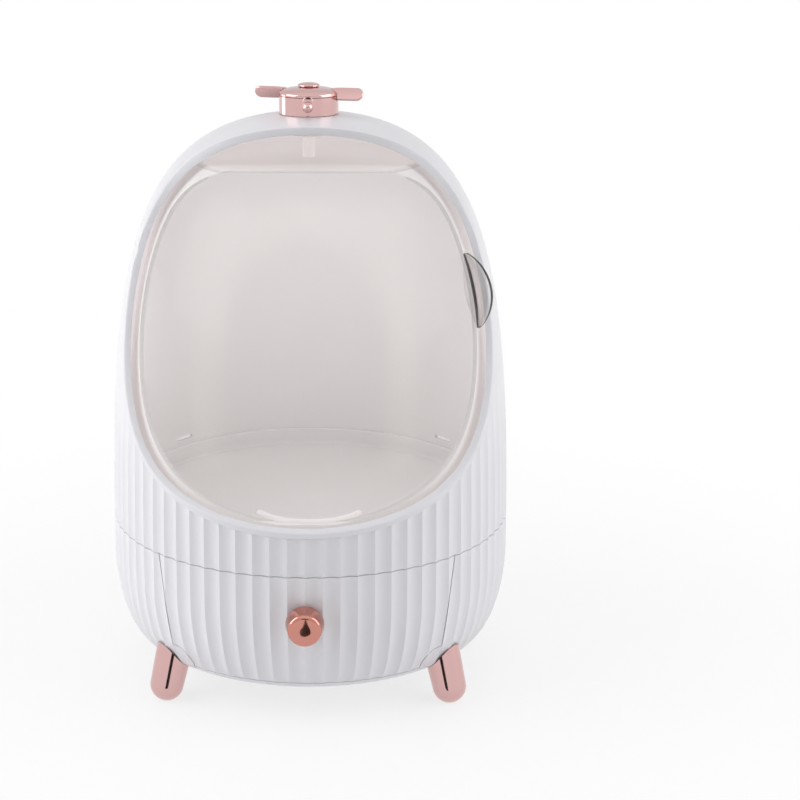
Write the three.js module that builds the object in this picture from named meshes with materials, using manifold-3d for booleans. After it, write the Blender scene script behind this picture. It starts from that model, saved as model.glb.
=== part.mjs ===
// Egg-shaped cosmetic organizer box in millimetres: a fluted shell on four feet, with a turning clear
// door, an inner liner and tray, a drawer in the base and a spinning propeller on the crown.
import * as THREE from "three";
import { mergeVertices } from "three/addons/utils/BufferGeometryUtils.js";
import Module from "manifold-3d";

const wasm = await Module();
wasm.setup();

// Body outline
const bodyRadius = 113.5;
const waistHeight = 65;
const crownHeight = 318.7;
const shoulderPull = 190.5;
const crownTuck = 20.5;
const baseHeight = 20;
const baseTuck = 18.5;
const bilgePull = 15.6;
const bilgeRise = 3;
const waistPull = 3;
const wallThickness = 3.5;
const seamHeight = 90;
const seamWidth = 0.5;
const overrun = 60;
const fit = 0.3;

// Flutes round the lower body, and the smooth band that ends them under the drawer
const fluteCount = 76;
const segmentsPerFlute = 2;
const fluteDepth = 1.1;
const fluteFullShare = 0.1;
const fluteTopShare = 0.25;
const footBandHeight = 3.5;
const footBandFade = 4;
const rimMargin = 3.3;

// Front opening, as the line that its rim draws in the side view
const openingSetback = 27;
const openingTopDrop = 30.7;
const openingLean = 8.5;
const openingCrown = 29;
const openingPull = 126;
const lipHeight = 24.5;
const kneeRun = 47.5;
const kneeRise = 21.5;

// Deck, floor tray and inner liner
const deckDrop = 6;
const deckPlate = 3;
const deckRimHeight = 9;
const deckRingWidth = 10;
const deckInset = 4.2;
const trayDepth = 9.7;
const trayThickness = 2;
const trayCove = 6;
const linerInset = 7.5;
const linerThickness = 2;
const linerAhead = 3;
const linerShoulderDrop = 20;
const roofDrop = 24.7;
const roofThickness = 2.5;
const roofSetback = 46;
const windowWidth = 13;
const windowHeight = 2.2;
const windowRise = 7;
const windowAngle = 130;

// Turning door, its handle and its pivot
const doorInset = 4.5;
const doorThickness = 2;
const doorLeftAngle = -77;
const doorRightAngle = 74;
const doorHubRadius = 12.5;
const doorHubDrop = 11.7;
const handleLead = 4.5;
const handleLength = 42;
const handleBulge = 11;
const handleThickness = 2;
const handleShare = 0.374;
const postRadius = 3.4;
const pinRadius = 2.6;
const pivotScrewRadius = 1.6;
const pivotScrewHead = 3.4;
const pivotScrewHeadHeight = 2;
const pivotScrewBite = 8;

// Feet, with their bosses and screws
const footAngle = 49;
const footInset = 6.5;
const footTilt = 16.5;
const footTipRadius = 9.4;
const footTopRadius = 10.7;
const footRise = 22.2;
const footFlat = 0.5;
const footBossRadius = 7.5;
const footBossRise = 10.7;
const footScrewRadius = 1.8;
const footScrewHead = 3.8;
const footScrewHeadHeight = 2.4;
const footScrewBite = 14;

// Drawer, its rails and its knob
const drawerTopSide = 33.2;
const drawerTaper = 6.4;
const drawerLift = 5;
const footReliefRadius = 13.5;
const footReliefRise = 4;
const frontGap = 0.4;
const boxSideGap = 2.4;
const boxCornerRun = 13.5;
const boxCornerRise = 15.7;
const boxHeadroom = 2;
const boxWall = 2;
const boxRearGap = 3.5;
const railHalfSpacing = 42;
const railWidth = 8;
const railHeight = 2.2;
const railEndInset = 43.5;
const knobDrop = 24.6;
const knobRadius = 10.3;
const knobFaceRadius = 8.8;
const knobEdge = 0.7;
const knobDepth = 13;
const knobBandLength = 2.2;
const knobNeckRadius = 6;
const knobNeckLength = 1.2;
const knobScrewRadius = 2;
const knobScrewHead = 4;
const knobScrewHeadHeight = 2.4;
const knobScrewBite = 5;
const spotFace = 0.6;

// Deck posts and screws
const deckPostRadius = 4.5;
const deckPostInset = 19.5;
const deckPostAngles = [-140, -65, 65, 140];
const deckScrewRadius = 1.5;
const deckScrewHead = 3.2;
const deckScrewHeadHeight = 2;
const deckScrewBite = 12;
const screwClearance = 0.3;

// Crown ornament
const hubRadius = 16.4;
const hubHeight = 9.3;
const hubEdge = 0.8;
const hubNotch = 2.1;
const bladeTurn = 15;
const bladeTip = 30.9;
const bladeWidth = 7.4;
const bladeThickness = 1.6;
const bladeEdge = 0.5;
const bladePitch = 60;
const bladeOverlap = 1;
const ringThickness = 1.6;
const ringInset = 3;
const capRim = 0.9;
const capRise = 3.4;
const capFlatRadius = 6.6;
const finialRadius = 6;
const finialHeight = 2.1;
const spindleRadius = 2.4;
const spindleHeadRadius = 4.6;
const spindleHeadHeight = 1.1;
const noseDrop = 4.3;
const noseCollarRadius = 2.8;
const noseCollarLength = 1.4;
const noseCollarRise = 3;
const noseStemRadius = 1.5;
const noseBallRadius = 2.9;
const noseReach = 6;

const ringSegments = 76;
const innerSegments = 38;
const doorSegments = 48;
const smallSegments = 16;
const rodSegments = 10;
const lowCurveShares = [0, 0.15, 0.4, 0.7];
const fluteCurveShares = [0, fluteFullShare, 0.17, fluteTopShare];
const domeCurveShares = [0.34, 0.43, 0.52, 0.61, 0.7, 0.79, 0.88, 0.95, 1];
const halfTurn = 180;
const footAngles = [-footAngle, footAngle, footAngle - halfTurn, halfTurn - footAngle];
const footNames = ["front_left", "front_right", "rear_left", "rear_right"];

// Levels and reaches that follow from the sizes above
const openingTop = crownHeight - openingTopDrop;
const openingFrontHeight = seamHeight + lipHeight;
const openingKneeDepth = bodyRadius - kneeRun;
const openingKneeHeight = openingFrontHeight + kneeRise;
const deckBottom = seamHeight - deckDrop;
const deckTop = deckBottom + deckRimHeight;
const trayRimHeight = deckTop + fit + trayDepth;
const windowLevel = trayRimHeight + windowRise;
const linerShoulder = openingTop - linerShoulderDrop;
const roofHeight = crownHeight - roofDrop;
const doorHubBottom = crownHeight - doorHubDrop;
const drawerFrontBottom = baseHeight + drawerLift;
const drawerTopHalfWidth = bodyRadius - drawerTopSide;
const drawerLowHalfWidth = drawerTopHalfWidth - drawerTaper;
const boxHalfWidth = drawerLowHalfWidth - boxSideGap;
const boxFloorHalfWidth = boxHalfWidth - boxCornerRun;
const boxBottom = baseHeight + wallThickness + fit + railHeight + fit;
const boxShoulder = boxBottom + boxCornerRise;
const boxTop = deckBottom - boxHeadroom;
const deckPostReach = bodyRadius - deckPostInset;
const boxRearRadius = deckPostReach - deckPostRadius - boxRearGap;
const knobHeight = seamHeight - knobDrop;
const knobScrewSeat = -(wallThickness + fit + boxWall + spotFace);
const hubTop = crownHeight + hubHeight;
const ringBottom = hubTop + fit;
const ringRadius = hubRadius - ringInset;
const ringTop = ringBottom + ringThickness;
const capBottom = hubTop + fit;
const capTop = capBottom + capRim + capRise;
const noseHeight = hubTop - noseDrop;

const radians = THREE.MathUtils.degToRad;

// Reach of a foot's axis from the centre, the lengths along it, and where it stands in the front view
const footReach = bodyRadius - footInset;
const footBossEnd = (baseHeight + footBossRise) / Math.cos(radians(footTilt));
const footLength = (baseHeight + footRise) / Math.cos(radians(footTilt));
const footReliefHeight = baseHeight + footReliefRise;
const footReliefOffset =
  (footReach - footReliefHeight * Math.tan(radians(footTilt))) * Math.sin(radians(footAngle));

// A closed three.js geometry as a solid that booleans can work on
function solidOf(geometry) {
  const bare = geometry.index ? geometry.toNonIndexed() : geometry.clone();
  bare.deleteAttribute("normal");
  bare.deleteAttribute("uv");
  const merged = mergeVertices(bare);
  const corners = merged.index.array;
  const kept = [];
  for (let i = 0; i < corners.length; i += 3) {
    const [a, b, c] = corners.slice(i, i + 3);
    if (a !== b && b !== c && c !== a) kept.push(a, b, c);
  }
  return new wasm.Manifold(
    new wasm.Mesh({
      numProp: 3,
      vertProperties: merged.attributes.position.array,
      triVerts: new Uint32Array(kept),
    }),
  );
}

function geometryOf(solid) {
  const { vertProperties, triVerts } = solid.getMesh();
  const geometry = new THREE.BufferGeometry();
  geometry.setAttribute("position", new THREE.BufferAttribute(vertProperties, 3));
  geometry.setIndex(new THREE.BufferAttribute(triVerts, 1));
  geometry.computeVertexNormals();
  return geometry;
}

// Curves of the body in radius and height
const lowCurve = new THREE.CubicBezierCurve(
  new THREE.Vector2(bodyRadius - baseTuck, baseHeight),
  new THREE.Vector2(bodyRadius - baseTuck + bilgePull, baseHeight + bilgeRise),
  new THREE.Vector2(bodyRadius, waistHeight - waistPull),
  new THREE.Vector2(bodyRadius, waistHeight),
);
const highCurve = new THREE.CubicBezierCurve(
  new THREE.Vector2(bodyRadius, waistHeight),
  new THREE.Vector2(bodyRadius, waistHeight + shoulderPull),
  new THREE.Vector2(bodyRadius - crownTuck, crownHeight),
  new THREE.Vector2(0, crownHeight),
);

// The point of a body curve at a share of its length parameter, moved square to it by an inset
function surfacePoint(curve, share, inset) {
  const point = curve.getPoint(share);
  const along = curve.getTangent(share);
  return new THREE.Vector2(point.x - along.y * inset, point.y + along.x * inset);
}

function outlinePoints(curve, shares, inset) {
  return shares.map((share) => surfacePoint(curve, share, inset));
}

// A solid of revolution about the upright axis, its profile running from bottom to top
function revolve(points, segments) {
  const profile = points.map(([radius, height]) => new THREE.Vector2(radius, height));
  const geometry = new THREE.LatheGeometry(profile, segments);
  geometry.rotateX(Math.PI / 2);
  return geometry;
}

function cylinder(radius, bottom, top, segments = smallSegments) {
  const geometry = new THREE.CylinderGeometry(radius, radius, top - bottom, segments);
  geometry.rotateX(Math.PI / 2);
  geometry.translate(0, 0, (top + bottom) / 2);
  return solidOf(geometry);
}

function block(width, depth, height, x, y, z) {
  const geometry = new THREE.BoxGeometry(width, depth, height);
  geometry.translate(x, y, z);
  return solidOf(geometry);
}

// Everything between two levels
function slab(bottom, top) {
  const side = 2 * (bodyRadius + overrun);
  return block(side, side, top - bottom, 0, 0, (top + bottom) / 2);
}

// A shape drawn in the front view, extruded along Y between two depths
function frontPrism(shape, near, far) {
  const geometry = new THREE.ExtrudeGeometry(shape, { depth: far - near, bevelEnabled: false });
  geometry.rotateX(Math.PI / 2);
  geometry.translate(0, far, 0);
  return solidOf(geometry);
}

// A shape drawn in the side view, with Y across and Z up, extruded through the whole width
function sidePrism(shape) {
  const half = bodyRadius + overrun;
  const geometry = new THREE.ExtrudeGeometry(shape, {
    depth: 2 * half,
    bevelEnabled: false,
    curveSegments: smallSegments / 2,
  });
  geometry.translate(0, 0, -half);
  const sideways = new THREE.Matrix4().makeBasis(
    new THREE.Vector3(0, 1, 0),
    new THREE.Vector3(0, 0, 1),
    new THREE.Vector3(1, 0, 0),
  );
  return solidOf(geometry.applyMatrix4(sideways));
}

// The smooth body, set in by an inset
function egg(inset, segments = innerSegments) {
  const low = outlinePoints(lowCurve, lowCurveShares, inset);
  low[0].y = baseHeight + inset;
  const high = outlinePoints(highCurve, [...fluteCurveShares, ...domeCurveShares], inset);
  high[high.length - 1].x = 0;
  const points = [new THREE.Vector2(0, baseHeight + inset), ...low, ...high];
  return solidOf(revolve(points.map((p) => [p.x, p.y]), segments));
}

// Depth of the flutes at a height: none at the foot band, full below the shoulder, fading above it
function fluteDepthAt(height) {
  const bandTop = baseHeight + footBandHeight;
  const full = highCurve.getPoint(fluteFullShare).y;
  const end = highCurve.getPoint(fluteTopShare).y;
  const foot = THREE.MathUtils.smoothstep(height, bandTop, bandTop + footBandFade);
  const fade = 1 - THREE.MathUtils.smoothstep(height, full, end);
  return fluteDepth * foot * fade;
}

// The body with its flutes: each is a hollow between two sharp ridges
function flutedEgg() {
  const low = outlinePoints(lowCurve, lowCurveShares, 0);
  const high = outlinePoints(highCurve, fluteCurveShares, 0);
  const top = high[high.length - 1];
  const points = [new THREE.Vector2(0, baseHeight), ...low, ...high, new THREE.Vector2(0, top.y)];
  const geometry = revolve(points.map((p) => [p.x, p.y]), fluteCount * segmentsPerFlute);
  const position = geometry.attributes.position;
  for (let i = 0; i < position.count; i++) {
    const x = position.getX(i);
    const y = position.getY(i);
    const radius = Math.hypot(x, y);
    if (radius < bodyRadius / 2) continue;
    const turn = (Math.atan2(x, -y) / (2 * Math.PI)) * fluteCount;
    const across = 2 * (turn - Math.floor(turn)) - 1;
    const hollow = fluteDepthAt(position.getZ(i)) * (1 - across * across);
    position.setXY(i, (x * (radius - hollow)) / radius, (y * (radius - hollow)) / radius);
  }
  const dome = [top, ...outlinePoints(highCurve, domeCurveShares, 0)];
  dome[dome.length - 1].x = 0;
  const domePoints = [new THREE.Vector2(0, top.y), ...dome];
  const upper = solidOf(revolve(domePoints.map((p) => [p.x, p.y]), ringSegments));
  return solidOf(geometry).add(upper);
}

// Depth of the opening's rim line ahead of the axis, at a height
function openingDepthAt(height) {
  const low = new THREE.CubicBezierCurve(
    new THREE.Vector2(bodyRadius, openingFrontHeight),
    new THREE.Vector2(openingKneeDepth, openingKneeHeight),
    new THREE.Vector2(openingSetback, openingTop - openingPull),
    new THREE.Vector2(openingSetback, openingTop),
  );
  const points = low.getPoints(innerSegments);
  return points.reduce((near, p) => (Math.abs(p.y - height) < Math.abs(near.y - height) ? p : near)).x;
}

// The air in front of the opening's rim, its line moved back by a margin
function openingCut(margin) {
  const back = -openingSetback + margin;
  const far = -(bodyRadius + overrun);
  const slope = (openingKneeHeight - openingFrontHeight) / (bodyRadius - openingKneeDepth);
  const shape = new THREE.Shape();
  shape.moveTo(far, openingFrontHeight - margin - overrun * slope);
  shape.lineTo(-bodyRadius, openingFrontHeight - margin);
  shape.bezierCurveTo(
    -openingKneeDepth,
    openingKneeHeight - margin,
    back,
    openingTop - openingPull,
    back,
    openingTop,
  );
  shape.quadraticCurveTo(
    back,
    openingTop + openingCrown / 2,
    back - openingLean,
    openingTop + openingCrown,
  );
  shape.lineTo(back - 4 * openingLean, openingTop + 3 * openingCrown);
  shape.lineTo(far, openingTop + 3 * openingCrown);
  return sidePrism(shape);
}

// The air in front of the liner's edge, which runs ahead of the shell's rim and turns under the roof
function linerCut() {
  const back = -openingSetback - linerAhead;
  const far = -(bodyRadius + overrun);
  const slope = (openingKneeHeight - openingFrontHeight) / (bodyRadius - openingKneeDepth);
  const shape = new THREE.Shape();
  shape.moveTo(far, openingFrontHeight - linerAhead - overrun * slope);
  shape.lineTo(-bodyRadius, openingFrontHeight - linerAhead);
  shape.bezierCurveTo(
    -openingKneeDepth - linerAhead,
    openingKneeHeight,
    back,
    openingTop - openingPull,
    back,
    linerShoulder,
  );
  shape.quadraticCurveTo(back, roofHeight - linerInset, -roofSetback, roofHeight);
  shape.lineTo(-roofSetback - linerInset, roofHeight + linerInset);
  shape.lineTo(far, roofHeight + linerInset);
  return sidePrism(shape);
}

// Front view of the drawer front, its lower corners hollowed round the feet
function drawerOutline(clearance) {
  const reach = footReliefRadius + clearance;
  const lean =
    (drawerTopHalfWidth - drawerLowHalfWidth) / (seamHeight - footReliefHeight - footReliefRadius);
  const topHalf = drawerTopHalfWidth + overrun * lean - clearance;
  const low = Math.asin((drawerFrontBottom + clearance - footReliefHeight) / reach);
  const high = Math.acos((footReliefOffset - drawerLowHalfWidth + clearance) / reach);
  const shape = new THREE.Shape();
  shape.moveTo(topHalf, seamHeight + overrun);
  shape.lineTo(-topHalf, seamHeight + overrun);
  shape.absarc(-footReliefOffset, footReliefHeight, reach, high, low, true);
  shape.absarc(footReliefOffset, footReliefHeight, reach, Math.PI - low, Math.PI - high, true);
  return shape;
}

// Cross section of the drawer box, its lower corners sloped clear of the feet
function boxSection(inset, bottom, top) {
  const half = boxHalfWidth - inset;
  const floorHalf = boxFloorHalfWidth - inset;
  const shape = new THREE.Shape();
  shape.moveTo(floorHalf, bottom);
  shape.lineTo(half, boxShoulder);
  shape.lineTo(half, top);
  shape.lineTo(-half, top);
  shape.lineTo(-half, boxShoulder);
  shape.lineTo(-floorHalf, bottom);
  return frontPrism(shape, -bodyRadius - overrun, bodyRadius + overrun);
}

// Plan of the drawer box: straight sides and a round back
function boxPlan(inset) {
  const half = boxHalfWidth - inset;
  const radius = boxRearRadius - inset;
  const start = Math.acos(half / radius);
  const shape = new THREE.Shape();
  shape.moveTo(-half, -bodyRadius - overrun);
  shape.lineTo(half, -bodyRadius - overrun);
  shape.absarc(0, 0, radius, start, Math.PI - start, false);
  const options = { depth: boxTop + overrun, bevelEnabled: false, curveSegments: smallSegments / 2 };
  return solidOf(new THREE.ExtrudeGeometry(shape, options));
}

// A wedge about the upright axis between two angles, measured from the front towards +X
function wedge(from, to) {
  const reach = 2 * (bodyRadius + overrun);
  const shape = new THREE.Shape();
  const steps = smallSegments / 4;
  for (let i = 0; i <= steps; i++) {
    const angle = radians(from + ((to - from) * i) / steps);
    shape.lineTo(reach * Math.sin(angle), -reach * Math.cos(angle));
  }
  const options = { depth: crownHeight + overrun, bevelEnabled: false };
  return solidOf(new THREE.ExtrudeGeometry(shape, options));
}

// Named meshes in one group, moved so that the box round the whole part is centred on the origin
const organizer = new THREE.Group();
organizer.position.y = knobDepth / 2;

function addPart(name, solid, look, holder = organizer) {
  const mesh = new THREE.Mesh(geometryOf(solid), new THREE.MeshStandardMaterial(look));
  mesh.name = name;
  holder.add(mesh);
  return mesh;
}

const whitePlastic = { color: 0xefefee, roughness: 0.4, metalness: 0 };
const linerPlastic = { color: 0xeceded, roughness: 0.45, metalness: 0 };
const smokedPlastic = { color: 0xc9c2ba, roughness: 0.08, metalness: 0, transparent: true, opacity: 0.3 };
const smokedGrey = { color: 0x8c8a8b, roughness: 0.1, metalness: 0, transparent: true, opacity: 0.6 };
const roseMetal = { color: 0x8f6a5c, roughness: 0.2, metalness: 1 };
const screwSteel = { color: 0xa8a9ab, roughness: 0.3, metalness: 1 };

const halfSeam = seamWidth / 2;
const boxWindow = frontPrism(drawerOutline(0), -bodyRadius - overrun, 0);
const outerBody = flutedEgg();
const wallCore = egg(wallThickness);

// Upper shell: the fluted dome with its smooth-edged opening and the hole for the spindle
function upperShell() {
  const band = egg(0, ringSegments).intersect(openingCut(rimMargin));
  return outerBody
    .add(band)
    .intersect(slab(seamHeight + halfSeam, crownHeight + overrun))
    .subtract(wallCore)
    .subtract(openingCut(0))
    .subtract(cylinder(spindleRadius + screwClearance, crownHeight - overrun, crownHeight + overrun));
}

// The direction down a foot, from its top inside the body to its tip on the floor
function footFrame(angle) {
  const frame = new THREE.Matrix4().makeRotationZ(radians(angle));
  frame.multiply(new THREE.Matrix4().makeTranslation(0, -footReach, 0));
  frame.multiply(new THREE.Matrix4().makeRotationX(radians(-footTilt)));
  return frame;
}

function alongFoot(geometry, angle) {
  return solidOf(geometry.applyMatrix4(footFrame(angle)));
}

function footRod(radius, from, to, angle) {
  const geometry = new THREE.CylinderGeometry(radius, radius, to - from, rodSegments);
  geometry.rotateX(Math.PI / 2);
  geometry.translate(0, 0, (from + to) / 2);
  return alongFoot(geometry, angle);
}

// Moves a solid from the upright axis to a deck post
function atDeckPost(solid, angle) {
  const turn = radians(angle);
  return solid.translate([deckPostReach * Math.sin(turn), -deckPostReach * Math.cos(turn), 0]);
}

function deckRod(radius, bottom, top, angle) {
  return atDeckPost(cylinder(radius, bottom, top, rodSegments), angle);
}

// Lower base: the fluted bowl with its drawer window, foot bosses and deck posts
function lowerBase() {
  let bowl = outerBody.intersect(slab(baseHeight - overrun, seamHeight - halfSeam)).subtract(wallCore);
  bowl = bowl.subtract(boxWindow);
  for (const angle of footAngles) {
    const boss = footRod(footBossRadius, 0, footBossEnd, angle);
    bowl = bowl.add(boss.intersect(egg(wallThickness / 2)));
  }
  for (const angle of footAngles) {
    bowl = bowl.subtract(footRod(footScrewRadius + screwClearance, 0, footBossEnd + overrun, angle));
  }
  for (const angle of deckPostAngles) {
    const post = deckRod(deckPostRadius, baseHeight + wallThickness / 2, deckBottom - fit, angle);
    const hole = deckRod(
      deckScrewRadius + screwClearance,
      deckBottom - deckScrewBite - fit,
      deckBottom + fit,
      angle,
    );
    bowl = bowl.add(post.intersect(egg(wallThickness / 2))).subtract(hole);
  }
  return bowl;
}

// Drawer front: the part of the bowl's wall that slides out
function drawerFront() {
  const outline = frontPrism(drawerOutline(frontGap), -bodyRadius - overrun, 0);
  return outerBody
    .intersect(slab(baseHeight - overrun, seamHeight - halfSeam))
    .subtract(wallCore)
    .intersect(outline)
    .subtract(knobHole());
}

function knobHole() {
  return alongKnob([
    [0, -overrun],
    [knobScrewRadius + screwClearance, -overrun],
    [knobScrewRadius + screwClearance, overrun],
    [0, overrun],
  ]);
}

// A solid of revolution about the knob's axis, heights measured outward from the drawer front
function alongKnob(points) {
  const geometry = revolve(points, smallSegments);
  geometry.rotateX(Math.PI / 2);
  geometry.translate(0, -bodyRadius, knobHeight);
  return solidOf(geometry);
}

// Drawer box: an open tray with sloped lower corners, a round back and a front wall behind the bowl
function drawerBox() {
  const outside = boxSection(0, boxBottom, boxTop)
    .intersect(boxPlan(0))
    .intersect(egg(wallThickness + fit));
  const inside = boxSection(boxWall, boxBottom, boxTop + overrun)
    .intersect(boxPlan(boxWall))
    .intersect(egg(wallThickness + fit + boxWall))
    .intersect(slab(boxBottom + boxWall, boxTop + overrun));
  const spot = alongKnob([
    [0, -overrun],
    [knobScrewHead + screwClearance, -overrun],
    [knobScrewHead + screwClearance, knobScrewSeat + fit],
    [0, knobScrewSeat + fit],
  ]);
  return outside.subtract(inside).subtract(spot).subtract(knobHole());
}

// Drawer knob: a round button on a short neck, with a blind hole for its screw
function drawerKnob() {
  const knob = alongKnob([
    [0, fit],
    [knobNeckRadius, fit],
    [knobNeckRadius, knobNeckLength],
    [knobRadius - knobEdge, knobNeckLength],
    [knobRadius, knobNeckLength + knobEdge],
    [knobRadius, knobNeckLength + knobBandLength],
    [knobFaceRadius, knobDepth - 2 * knobEdge],
    [knobFaceRadius - knobEdge, knobDepth - knobEdge / 2],
    [knobFaceRadius - 3 * knobEdge, knobDepth],
    [0, knobDepth],
  ]);
  return knob.subtract(
    alongKnob([
      [0, -overrun],
      [knobScrewRadius + screwClearance, -overrun],
      [knobScrewRadius + screwClearance, knobScrewBite + fit],
      [0, knobScrewBite + fit],
    ]),
  );
}

function knobScrew() {
  return alongKnob([
    [0, knobScrewSeat - knobScrewHeadHeight],
    [knobScrewHead, knobScrewSeat - knobScrewHeadHeight],
    [knobScrewHead, knobScrewSeat],
    [knobScrewRadius, knobScrewSeat],
    [knobScrewRadius, knobScrewBite],
    [0, knobScrewBite],
  ]);
}

function drawerRail(side) {
  const level = boxBottom - fit - railHeight / 2;
  const length = 2 * (bodyRadius - railEndInset);
  return block(railWidth, length, railHeight, side * railHalfSpacing, 0, level);
}

// Foot: a tapered peg with a round tip, flat where it stands and hollowed to the body above
function foot(angle) {
  const sink = footTipRadius - footFlat;
  const points = [new THREE.Vector2(0, sink - footTipRadius)];
  const steps = 4;
  for (let i = 1; i <= steps; i++) {
    const turn = (Math.PI / 2) * (i / steps);
    points.push(
      new THREE.Vector2(footTipRadius * Math.sin(turn), sink - footTipRadius * Math.cos(turn)),
    );
  }
  points.push(new THREE.Vector2(footTopRadius, footLength));
  points.push(new THREE.Vector2(0, footLength));
  const peg = alongFoot(revolve(points.map((p) => [p.x, p.y]), smallSegments), angle);
  return peg
    .subtract(egg(-fit, ringSegments))
    .intersect(slab(0, baseHeight + overrun))
    .subtract(
      footRod(footScrewRadius + screwClearance, footBossEnd - footScrewBite - fit, footLength, angle),
    );
}

// Outline of a plain screw: its shank from a tip up to a seat, then its head
function screwOutline(radius, head, headHeight, tip, seat) {
  return [
    [0, tip],
    [radius, tip],
    [radius, seat],
    [head, seat],
    [head, seat + headHeight],
    [0, seat + headHeight],
  ];
}

function footScrew(angle) {
  const outline = screwOutline(
    footScrewRadius,
    footScrewHead,
    footScrewHeadHeight,
    footBossEnd - footScrewBite,
    footBossEnd + fit,
  );
  return alongFoot(revolve(outline, rodSegments), angle);
}

// Deck: the plate between the drawer and the cabin, its rim carrying the tray and the door
function deck() {
  const pocket = cylinder(
    bodyRadius - deckRingWidth - deckInset,
    deckBottom + deckPlate,
    deckTop + fit,
    innerSegments,
  );
  let plate = egg(deckInset).intersect(slab(deckBottom, deckTop)).subtract(pocket);
  for (const angle of deckPostAngles) {
    plate = plate.subtract(deckRod(deckScrewRadius + screwClearance, deckBottom - fit, deckTop, angle));
  }
  return plate;
}

function deckScrew(angle) {
  const outline = screwOutline(
    deckScrewRadius,
    deckScrewHead,
    deckScrewHeadHeight,
    deckBottom - deckScrewBite,
    deckBottom + deckPlate + fit,
  );
  return atDeckPost(solidOf(revolve(outline, rodSegments)), angle);
}

// Floor tray: a shallow dish with a round cove, standing on the deck's rim
function floorTray() {
  const inner = bodyRadius - linerInset - linerThickness;
  const rim = trayRimHeight + fit;
  const floor = deckTop + fit + trayThickness;
  const points = [[0, floor]];
  const steps = 3;
  for (let i = 0; i <= steps; i++) {
    const turn = (Math.PI / 2) * (i / steps);
    points.push([
      inner - trayCove + trayCove * Math.sin(turn),
      floor + trayCove * (1 - Math.cos(turn)),
    ]);
  }
  points.push([inner, rim], [0, rim]);
  const dish = solidOf(revolve(points, innerSegments));
  return egg(linerInset).intersect(slab(deckTop + fit, trayRimHeight)).subtract(dish);
}

// Inner liner: a thin wall with a flat roof, cut back behind the shell's rim, with two clip windows
function innerLiner() {
  const hollow = egg(linerInset + linerThickness).intersect(slab(0, roofHeight - roofThickness));
  let liner = egg(linerInset)
    .intersect(slab(trayRimHeight + fit, roofHeight))
    .subtract(hollow)
    .subtract(linerCut());
  for (const side of [-1, 1]) {
    const slot = block(windowWidth, overrun, windowHeight, 0, -bodyRadius, windowLevel);
    liner = liner.subtract(slot.rotate([0, 0, side * windowAngle]));
  }
  return liner.subtract(
    cylinder(pivotScrewRadius + screwClearance, roofHeight - overrun, roofHeight + overrun),
  );
}

// Turning door: a sector of a thin dome, closed to a full ring at its pivot
function doorPanel() {
  const skin = egg(doorInset, doorSegments)
    .subtract(egg(doorInset + doorThickness, doorSegments))
    .intersect(slab(deckTop + fit, crownHeight));
  const collar = cylinder(doorHubRadius, roofHeight, crownHeight);
  return skin
    .intersect(wedge(doorLeftAngle, doorRightAngle).add(collar))
    .subtract(cylinder(pinRadius + fit, roofHeight, crownHeight));
}

function doorHub() {
  return cylinder(doorHubRadius, doorHubBottom, crownHeight)
    .intersect(egg(doorInset + doorThickness + fit))
    .subtract(cylinder(pinRadius + fit, roofHeight, crownHeight));
}

// Door handle: an upright fin with a round edge, on the door's outer face
function doorHandle() {
  const seat = surfacePoint(highCurve, handleShare, doorInset);
  const along = highCurve.getTangent(handleShare);
  const half = handleLength / 2;
  const radius = (half * half + handleBulge * handleBulge) / (2 * handleBulge);
  const spread = Math.asin(half / radius);
  const shape = new THREE.Shape();
  shape.moveTo(-half, -doorThickness);
  shape.lineTo(-half, 0);
  shape.absarc(0, handleBulge - radius, radius, Math.PI / 2 + spread, Math.PI / 2 - spread, true);
  shape.lineTo(half, -doorThickness);
  const geometry = new THREE.ExtrudeGeometry(shape, { depth: handleThickness, bevelEnabled: false });
  geometry.translate(0, 0, -handleThickness / 2);
  const lengthways = new THREE.Vector3(0, -along.x, along.y);
  const outward = new THREE.Vector3(0, -along.y, -along.x);
  const across = new THREE.Vector3().crossVectors(lengthways, outward);
  const frame = new THREE.Matrix4().makeBasis(lengthways, outward, across);
  frame.setPosition(0, -seat.x, seat.y);
  geometry.applyMatrix4(frame);
  const ahead = openingDepthAt(seat.y - half) + handleLead;
  geometry.rotateZ(Math.acos(ahead / seat.x));
  return solidOf(geometry).subtract(egg(doorInset - fit, doorSegments));
}

// Pivot post on the liner's roof, with the pin that the door turns on
function pivotPost() {
  const foot = roofHeight + fit;
  return cylinder(postRadius, foot, doorHubBottom - fit)
    .add(cylinder(pinRadius, foot, crownHeight - wallThickness - 2 * fit))
    .subtract(cylinder(pivotScrewRadius + screwClearance, roofHeight - fit, foot + pivotScrewBite + fit));
}

function pivotScrew() {
  const seat = roofHeight - roofThickness - fit;
  const tip = roofHeight + fit + pivotScrewBite;
  const outline = [
    [0, seat - pivotScrewHeadHeight],
    [pivotScrewHead, seat - pivotScrewHeadHeight],
    [pivotScrewHead, seat],
    [pivotScrewRadius, seat],
    [pivotScrewRadius, tip],
    [0, tip],
  ];
  return solidOf(revolve(outline, rodSegments));
}

// Crown ornament: a round housing on the dome, hollowed to the dome below, with slots for the blades
function hubHousing() {
  const points = [
    [0, crownHeight - wallThickness],
    [hubRadius, crownHeight - wallThickness],
    [hubRadius, hubTop - hubEdge],
    [hubRadius - hubEdge, hubTop],
    [0, hubTop],
  ];
  return solidOf(revolve(points, 2 * smallSegments))
    .subtract(egg(-fit))
    .subtract(cylinder(spindleRadius + screwClearance, crownHeight - overrun, hubTop + overrun))
    .subtract(bladePair(fit))
    .subtract(block(hubNotch, hubNotch, 2 * hubNotch, 0, -hubRadius, crownHeight))
    .subtract(alongNose([
      [0, -noseReach],
      [noseStemRadius + fit, -noseReach],
      [noseStemRadius + fit, noseReach],
      [0, noseReach],
    ]));
}

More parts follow.
